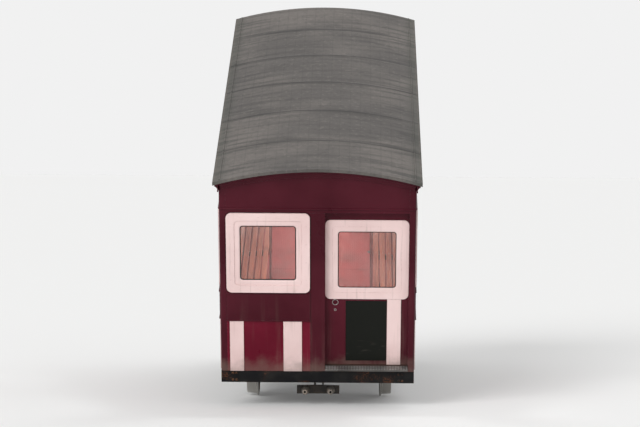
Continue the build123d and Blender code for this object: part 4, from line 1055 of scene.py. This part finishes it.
# %% Seals round the panes
SEAL_IN, SEAL_R, SEAL_OUT, DOOR_SEAL_OUT = SASH_W + 0.003, 0.030, 0.002, 0.001
LINING_IN, LINING_R, LINING_OUT = 0.030, 0.045, -WALL - 0.006
seals, linings = [], []
for side in (-1, 1):
    for window in SIDE_WINDOWS:
        seals.append(laid(on_side, side, loop(*window, SEAL_R, FRAME_BAR + SEAL_IN), SEAL_OUT))
        linings.append(laid(on_side, side, loop(*window, LINING_R, LINING_IN), LINING_OUT))
ring = loop(*END_WINDOW, SEAL_R, FRAME_BAR + SEAL_IN)
seals += [laid(on_end, end, ring, SEAL_OUT) for end in (-1, 1)]
beads("window_seals", seals, "pad_rubber", black_rubber, 0.013)
beads("window_linings", linings, "slat_wood", wood, 0.045, 0.012)
ring = loop(*DOOR_WINDOW, SEAL_R, DOOR_BAR + SEAL_IN)
for end_name, end in ENDS.items():
    seal = laid(on_door, end, ring, DOOR_SEAL_OUT)
    beads("door_seal_" + end_name, [seal], "pad_rubber", black_rubber, 0.010, body="door_" + end_name)

# %% [markdown]
# ## Screws and nails of the trim
# Countersunk screws hold the window frames, along the middle of their bars, and two rows of panel nails
# hold the cream strips. Filled and painted over, they show as faint dots, which is why they take the
# paint's own finish.

# %% Nails in the strips
STRIP_T, STRIP_W, NAIL_IN = 0.008, 0.150, 0.017
END_STRIPS = ((-0.950, -0.800), (-0.370, -0.170))
last_strip_y, nail_out = HALF_L - WALL - STRIP_W / 2, STRIP_W / 2 - NAIL_IN
nails = []
for z in spread(1.430, 1.949, 4):
    for y in spread(-last_strip_y, last_strip_y, BAYS + 1):
        for u in (y + across for across in both(nail_out)):
            nails += [(on_side(side, u, z, STRIP_T), (side, 0, 0)) for side in (-1, 1)]
    for u in (at for u0, u1 in END_STRIPS for at in (u0 + NAIL_IN, u1 - NAIL_IN)):
        nails += [(on_end(end, u, z, STRIP_T), (0, end, 0)) for end in (-1, 1)]
studs("strip_nails", nails, "cream_paint", cream, 0.0055, 0.0018)

# %% Screws in the window frames
FRAME_PROUD = 0.016


def ring_screws(window, inset, across, upright):
    """Places along the middle of a frame's bars."""
    u0, u1, z0, z1 = window[0] + inset, window[1] - inset, window[2] + inset, window[3] - inset
    places = []
    for u in (u0 + (u1 - u0) * (k + 0.5) / across for k in range(across)):
        places += [(u, z0), (u, z1)]
    for z in (z0 + (z1 - z0) * (k + 0.5) / upright for k in range(upright)):
        places += [(u0, z), (u1, z)]
    return places


screws = []
for side in (-1, 1):
    for window in SIDE_WINDOWS:
        for u, z in ring_screws(window, FRAME_BAR / 2, 5, 4):
            screws.append((on_side(side, u, z, FRAME_PROUD), (side, 0, 0)))
for u, z in ring_screws(END_WINDOW, FRAME_BAR / 2, 4, 4):
    screws += [(on_end(end, u, z, FRAME_PROUD), (0, end, 0)) for end in (-1, 1)]
studs("frame_screws", screws, "cream_paint", cream, 0.0075, 0.0028)

# %% [markdown]
# ## Beads on the outside of the body
# Half-round beads cover the joints of the panels: one above the windows, all the way round, and an
# upright one on each post between two windows. They are a round section half sunk in the wall.

# %% Body beads
CANT_Z, BEAD_END, POST_ROUND = WINDOW_TOP_Z + 0.045, 0.012, 0.024
ring = [(x, y, CANT_Z) for x, y in loop(-HALF_W, HALF_W, -HALF_L, HALF_L, POST_ROUND)]
body_lines = [(ring, True)]
for side in (-1, 1):
    for y in spread(-BAY, BAY, BAYS - 1):
        ends = [(side * HALF_W, y, z) for z in (WAIST_Z + BEAD_END, CANT_Z - BEAD_END)]
        body_lines.append((ends, False))
beads("body_beads", body_lines, "dark_crimson_paint", dark_crimson, 0.022)

# %% [markdown]
# ## Rain strips and tacks on the roof
# The roof has a rain strip along each side. Its canvas is turned over the edges, tacked down, and
# covered at each end by a moulding that follows the arch. All of it lies on the roof's own arc, so one
# function gives a place on it at any x.

# %% Trim of the roof
STRIP_X, STRIP_END_Y = 1.035, 2.665
TACK_X, TACK_END_Y, TACKS = 1.094, 2.660, 150
MOULD_X, MOULD_Y, MOULD_SUNK = 1.090, 2.670, 0.010


def roof_point(x, y, lift=0.0):
    """A place on the roof's top at x and y, lifted off it."""
    radius = ARCH_R + ROOF_T + lift
    return x, y, ARCH_Z + sqrt(radius * radius - x * x)


strips, tacks, arches = [], [], []
for side in (-1, 1):
    strips.append(([roof_point(side * STRIP_X, y) for y in both(STRIP_END_Y)], False))
    for y in spread(-TACK_END_Y, TACK_END_Y, TACKS):
        place = Vector(roof_point(side * TACK_X, y))
        tacks.append((place, (place - Vector((0, y, ARCH_Z))).normalized()))
for end in (-1, 1):
    arch = [roof_point(x, end * MOULD_Y, -MOULD_SUNK) for x in spread(-MOULD_X, MOULD_X, 41)]
    arches.append((arch, False))
beads("rain_strips", strips, "roof_paint", canvas, 0.020)
beads("canvas_edge_mouldings", arches, "roof_paint", canvas, 0.018)
studs("canvas_tacks", tacks, "roof_paint", forging, 0.0048, 0.0022)

# %% [markdown]
# ## Inside the cabin
# Through the glass one sees the ceiling's ribs, a cornice, a rail along the top of the lower lining, the
# rims of the lamps and the collars of the poles. They are few and plain, but without them the cabin
# looks like an empty box.

# %% Ribs, cornice, rail and collars
RIB_X, RIB_DOWN = 0.985, 0.017
CORNICE, LINING_RAIL, INNER_END_Y = (0.990, 3.618), (0.997, WAIST_Z), 2.44
LAMP_YS, LAMP_RIM_Z, LAMP_RIM_R = both(1.3), 3.739, 0.103
POLES = ((-0.58, 1.594), (-0.58, -0.5), (0.58, -1.594), (0.58, 0.5))
COLLAR_IN, TOP_COLLAR_R, FOOT_COLLAR_R = 0.012, 0.024, 0.021
ACROSS, ALONG, UPRIGHT = Vector((1, 0, 0)), Vector((0, 1, 0)), Vector((0, 0, 1))


def ceiling_z(x, down=0.0):
    """The height of the ceiling at x, or of an arc that far inside it."""
    return ARCH_Z + sqrt((ARCH_R - down) ** 2 - x * x)


def circle(centre, radius, first, second, steps=24):
    """A closed ring about a place, in the plane of two unit vectors."""
    turns = [2 * pi * k / steps for k in range(steps)]
    middle = Vector(centre)
    return [tuple(middle + radius * (cos(a) * first + sin(a) * second)) for a in turns], True


ribs = [([(x, y, ceiling_z(x, RIB_DOWN)) for x in spread(-RIB_X, RIB_X, 25)], False) for y in BAY_YS]
beads("ceiling_ribs", ribs, "slat_wood", wood, 0.055, 0.032)
mouldings = []
for side in (-1, 1):
    for x, z in (CORNICE, LINING_RAIL):
        mouldings.append(([(side * x, y, z) for y in both(INNER_END_Y)], False))
beads("inner_mouldings", mouldings, "slat_wood", wood, 0.034)
rings = [circle((0, y, LAMP_RIM_Z), LAMP_RIM_R, ACROSS, ALONG) for y in LAMP_YS]
for x, y in POLES:
    collars = ((ceiling_z(x) - COLLAR_IN, TOP_COLLAR_R), (FLOOR_Z + COLLAR_IN, FOOT_COLLAR_R))
    rings += [circle((x, y, z), r, ACROSS, ALONG, 16) for z, r in collars]
beads("lamp_and_pole_rings", rings, "bright_steel", pole_steel, 0.012)

# %% [markdown]
# ## The doors' small parts
# Each door has a bright rim round its finger pull, a keyhole plate, a bead round its dark panel, and a
# soft rubber edge where it meets the post. The downhill door is the uphill one turned half round. They
# ride on the door's own body, so they slide with it.

# %% Door trim
PULL_X, PULL_Z, PULL_RIM_R, KEY_Z, KEY_RIM_R, RIM_OUT = 0.190, 2.190, 0.031, 2.100, 0.011, 0.0005
RUBBER_X, RUBBER_IN, RUBBER_ZS = face("door_leaf_uphill", "+x"), 0.018, (1.46, 3.29)
x0, x1, z0, z1 = (face("door_panel_uphill", side) for side in ("-x", "+x", "-z", "+z"))
PANEL_RING, PANEL_BEAD_IN = ((x0, z0), (x0, z1), (x1, z1), (x1, z0)), 0.001


def turned(place):
    """The same place at the other end: half a turn about the upright axis."""
    return -place[0], -place[1], place[2]


pull = circle((PULL_X, DOOR_Y - RIM_OUT, PULL_Z), PULL_RIM_R, ACROSS, UPRIGHT)
key = circle((PULL_X, DOOR_Y - RIM_OUT, KEY_Z), KEY_RIM_R, ACROSS, UPRIGHT, 16)
for end_name, end in ENDS.items():
    body = "door_" + end_name
    rims = [([turned(place) for place in ring] if end > 0 else ring, True) for ring, _ in (pull, key)]
    panel = laid(on_door, end, PANEL_RING, -PANEL_BEAD_IN)
    edge = [on_door(end, RUBBER_X, z, -RUBBER_IN) for z in RUBBER_ZS], False
    beads("door_pull_rims_" + end_name, rims, "bright_steel", handled_steel, 0.006, body=body)
    beads("door_panel_beads_" + end_name, [panel], "dark_crimson_paint", door_paint, 0.010, body=body)
    beads("door_edge_rubber_" + end_name, [edge], "pad_rubber", black_rubber, 0.020, 0.007, body)

# %% [markdown]
# ## Steps, seats and rope gear
# The steps carry raised lozenges against slipping, each slat is screwed to its bench frames, and the
# rope sockets are bound with seizing wire. A slat's screws follow its tilt, so each slat is given by its
# place in the seat and its lean.

# %% Lozenges, slat screws and seizings
STEP_XS, STEP_YS = spread(0.10, 0.97, 30), spread(-2.648, -2.584, 3)
SEAT_TOP, SLAT_HALF_T, BENCH_LEG_YS = FLOOR_Z + 0.45, 0.011, spread(-2.31, 1.45, 5)
SLATS = ((0.062, -0.024, 8), (0.138, -0.031, 3), (0.214, -0.031, -3), (0.290, -0.024, -8),
         (0.364, -0.014, -4), (0.038, 0.105, 82), (0.028, 0.205, 84), (0.020, 0.305, 86))
ROPE_XS, ROPE_H = both(0.14), 0.122
SEIZINGS = ((-2.560, 0.041), (-2.600, 0.038), (-2.700, 0.0315), (-2.745, 0.0285))
lozenges = []
for place in ((x, y, FLOOR_Z) for y in STEP_YS for x in STEP_XS):
    lozenges += [(place, UPRIGHT), (turned(place), UPRIGHT)]
studs("step_tread", lozenges, "bright_steel", handled_steel, 0.011, 0.0022, tread_tree, turn=0.0)
slat_screws = []
for out, up, tilt in SLATS:
    lean = radians(tilt)
    normal = Vector((sin(lean), 0, cos(lean)))
    for y in BENCH_LEG_YS:
        place = Vector((out - INNER_HALF_W, y, SEAT_TOP + up)) + normal * SLAT_HALF_T
        slat_screws += [(place, normal), (turned(place), turned(normal))]
studs("slat_screws", slat_screws, "bright_steel", handled_steel, 0.0075, 0.0022)
bands = []
square = Vector((0, SIN, COS))
for x in ROPE_XS:
    bands += [circle((x, *on_slope(s, ROPE_H)), r, ACROSS, square, 20) for s, r in SEIZINGS]
beads("socket_seizings", bands, "rolled_steel", forging, 0.009)

# %% [markdown]
# ## A pale floor on the slope
# The floor is a pale plane along the slope, just under the flanges, so the car stands on it as it does
# at work. A level floor would leave the uphill wheels in the air. From below the plane is clear, so it
# never hides the car. A little light of its own, seen by the camera and in reflections only, keeps it
# from looking grey.

# %% The floor
FLANGE_R, FLOOR_HALF, FLOOR_GLOW = 0.2755, 120, 0.10


def seen_directly(tree):
    """1 for rays from the camera, off a shiny face or through glass, 0 for the car's light."""
    rays = put(tree, "ShaderNodeLightPath")
    return rays["Is Camera Ray"].at_least(rays["Is Glossy Ray"].at_least(rays["Is Transmission Ray"]))


def pale_floor():
    material = bpy.data.materials.new("pale_floor")
    tree = clean_tree(material)
    matt = put(tree, "ShaderNodeBsdfDiffuse", Color=(0.74, 0.74, 0.735))
    lift = put(tree, "ShaderNodeEmission", Color=(1, 1, 1), Strength=seen_directly(tree) * FLOOR_GLOW)
    from_below = put(tree, "ShaderNodeNewGeometry")["Backfacing"]
    clear = put(tree, "ShaderNodeBsdfTransparent")
    feed("ShaderNodeOutputMaterial", over(from_below, feed("ShaderNodeAddShader", matt, lift), clear))
    return material


middle = Vector((0, -SIN, -COS)) * (FLANGE_R - TREAD_R)
down_slope = Vector((0, COS, -SIN))
corners = ((-1, -1), (1, -1), (1, 1), (-1, 1))
places = [tuple(middle + FLOOR_HALF * (a * ACROSS + b * down_slope)) for a, b in corners]
plane = new_mesh("pale_floor", places, faces=[(0, 1, 2, 3)])
plane.materials.append(pale_floor())
floor = add_object("pale_floor", plane)
print("floor falls", round(degrees(INCLINE), 1), "degrees")

# %% [markdown]
# ## Plain soft light
# The paint should come out about as it was mixed, so the light is plain: a pale world all round, a broad
# key from the front and a weaker fill behind. Suns light near and far alike. Two dim lamps stand in for
# the daylight that a real ceiling throws about the cabin.

# %% The world and the lamps
WORLD_LIGHT, WORLD_SEEN_MORE = 0.58, 0.30
SUNS = (("key", 1.8, 30, -42, 46), ("fill", 0.7, 60, 150, 40))
CABIN_WATTS, CABIN_LAMP_W, CABIN_LAMP_Z = 34, 0.5, 3.62


def direction(azimuth, elevation):
    """The unit vector out from the car. Azimuth 0 looks at the uphill end."""
    a, e = radians(azimuth), radians(elevation)
    return Vector((sin(a) * cos(e), -cos(a) * cos(e), sin(e)))


def aim_at_car(thing, back):
    thing.rotation_mode = "QUATERNION"
    thing.rotation_quaternion = (-back).to_track_quat("-Z", "Y")


world = bpy.data.worlds.new("pale_world")
bpy.context.scene.world = world
tree = clean_tree(world)
strength = seen_directly(tree) * WORLD_SEEN_MORE + WORLD_LIGHT
feed("ShaderNodeOutputWorld", put(tree, "ShaderNodeBackground", Color=(1, 1, 1), Strength=strength))
for name, strength, softness, azimuth, elevation in SUNS:
    lamp = bpy.data.lights.new(name, "SUN")
    lamp.energy, lamp.angle = strength, radians(softness)
    aim_at_car(add_object(name, lamp), direction(azimuth, elevation))
for y in LAMP_YS:
    lamp = bpy.data.lights.new("cabin_light", "AREA")
    lamp.shape, lamp.size, lamp.energy = "DISK", CABIN_LAMP_W, CABIN_WATTS
    glow = add_object("cabin_light", lamp)
    glow.location = (0, y, CABIN_LAMP_Z)
    glow.visible_camera = glow.visible_glossy = glow.visible_transmission = False

# %% [markdown]
# ## The camera
# It looks at the uphill end, a little from above and from far off, with a long lens. Distance keeps the
# car's upright lines parallel, and the lens brings the car back to size.

# %% Camera
VIEW_AZIMUTH, VIEW_ELEVATION, VIEW_DISTANCE, LENS = 1.0, 23.0, 29.0, 145.0
VIEW_AIM = Vector((0, -1.1, 2.62))
lens = bpy.data.cameras.new("camera")
lens.lens = LENS
camera = add_object("camera", lens)
back = direction(VIEW_AZIMUTH, VIEW_ELEVATION)
camera.location = VIEW_AIM + back * VIEW_DISTANCE
aim_at_car(camera, back)
bpy.context.scene.camera = camera
print("camera at", [round(c, 2) for c in camera.location])
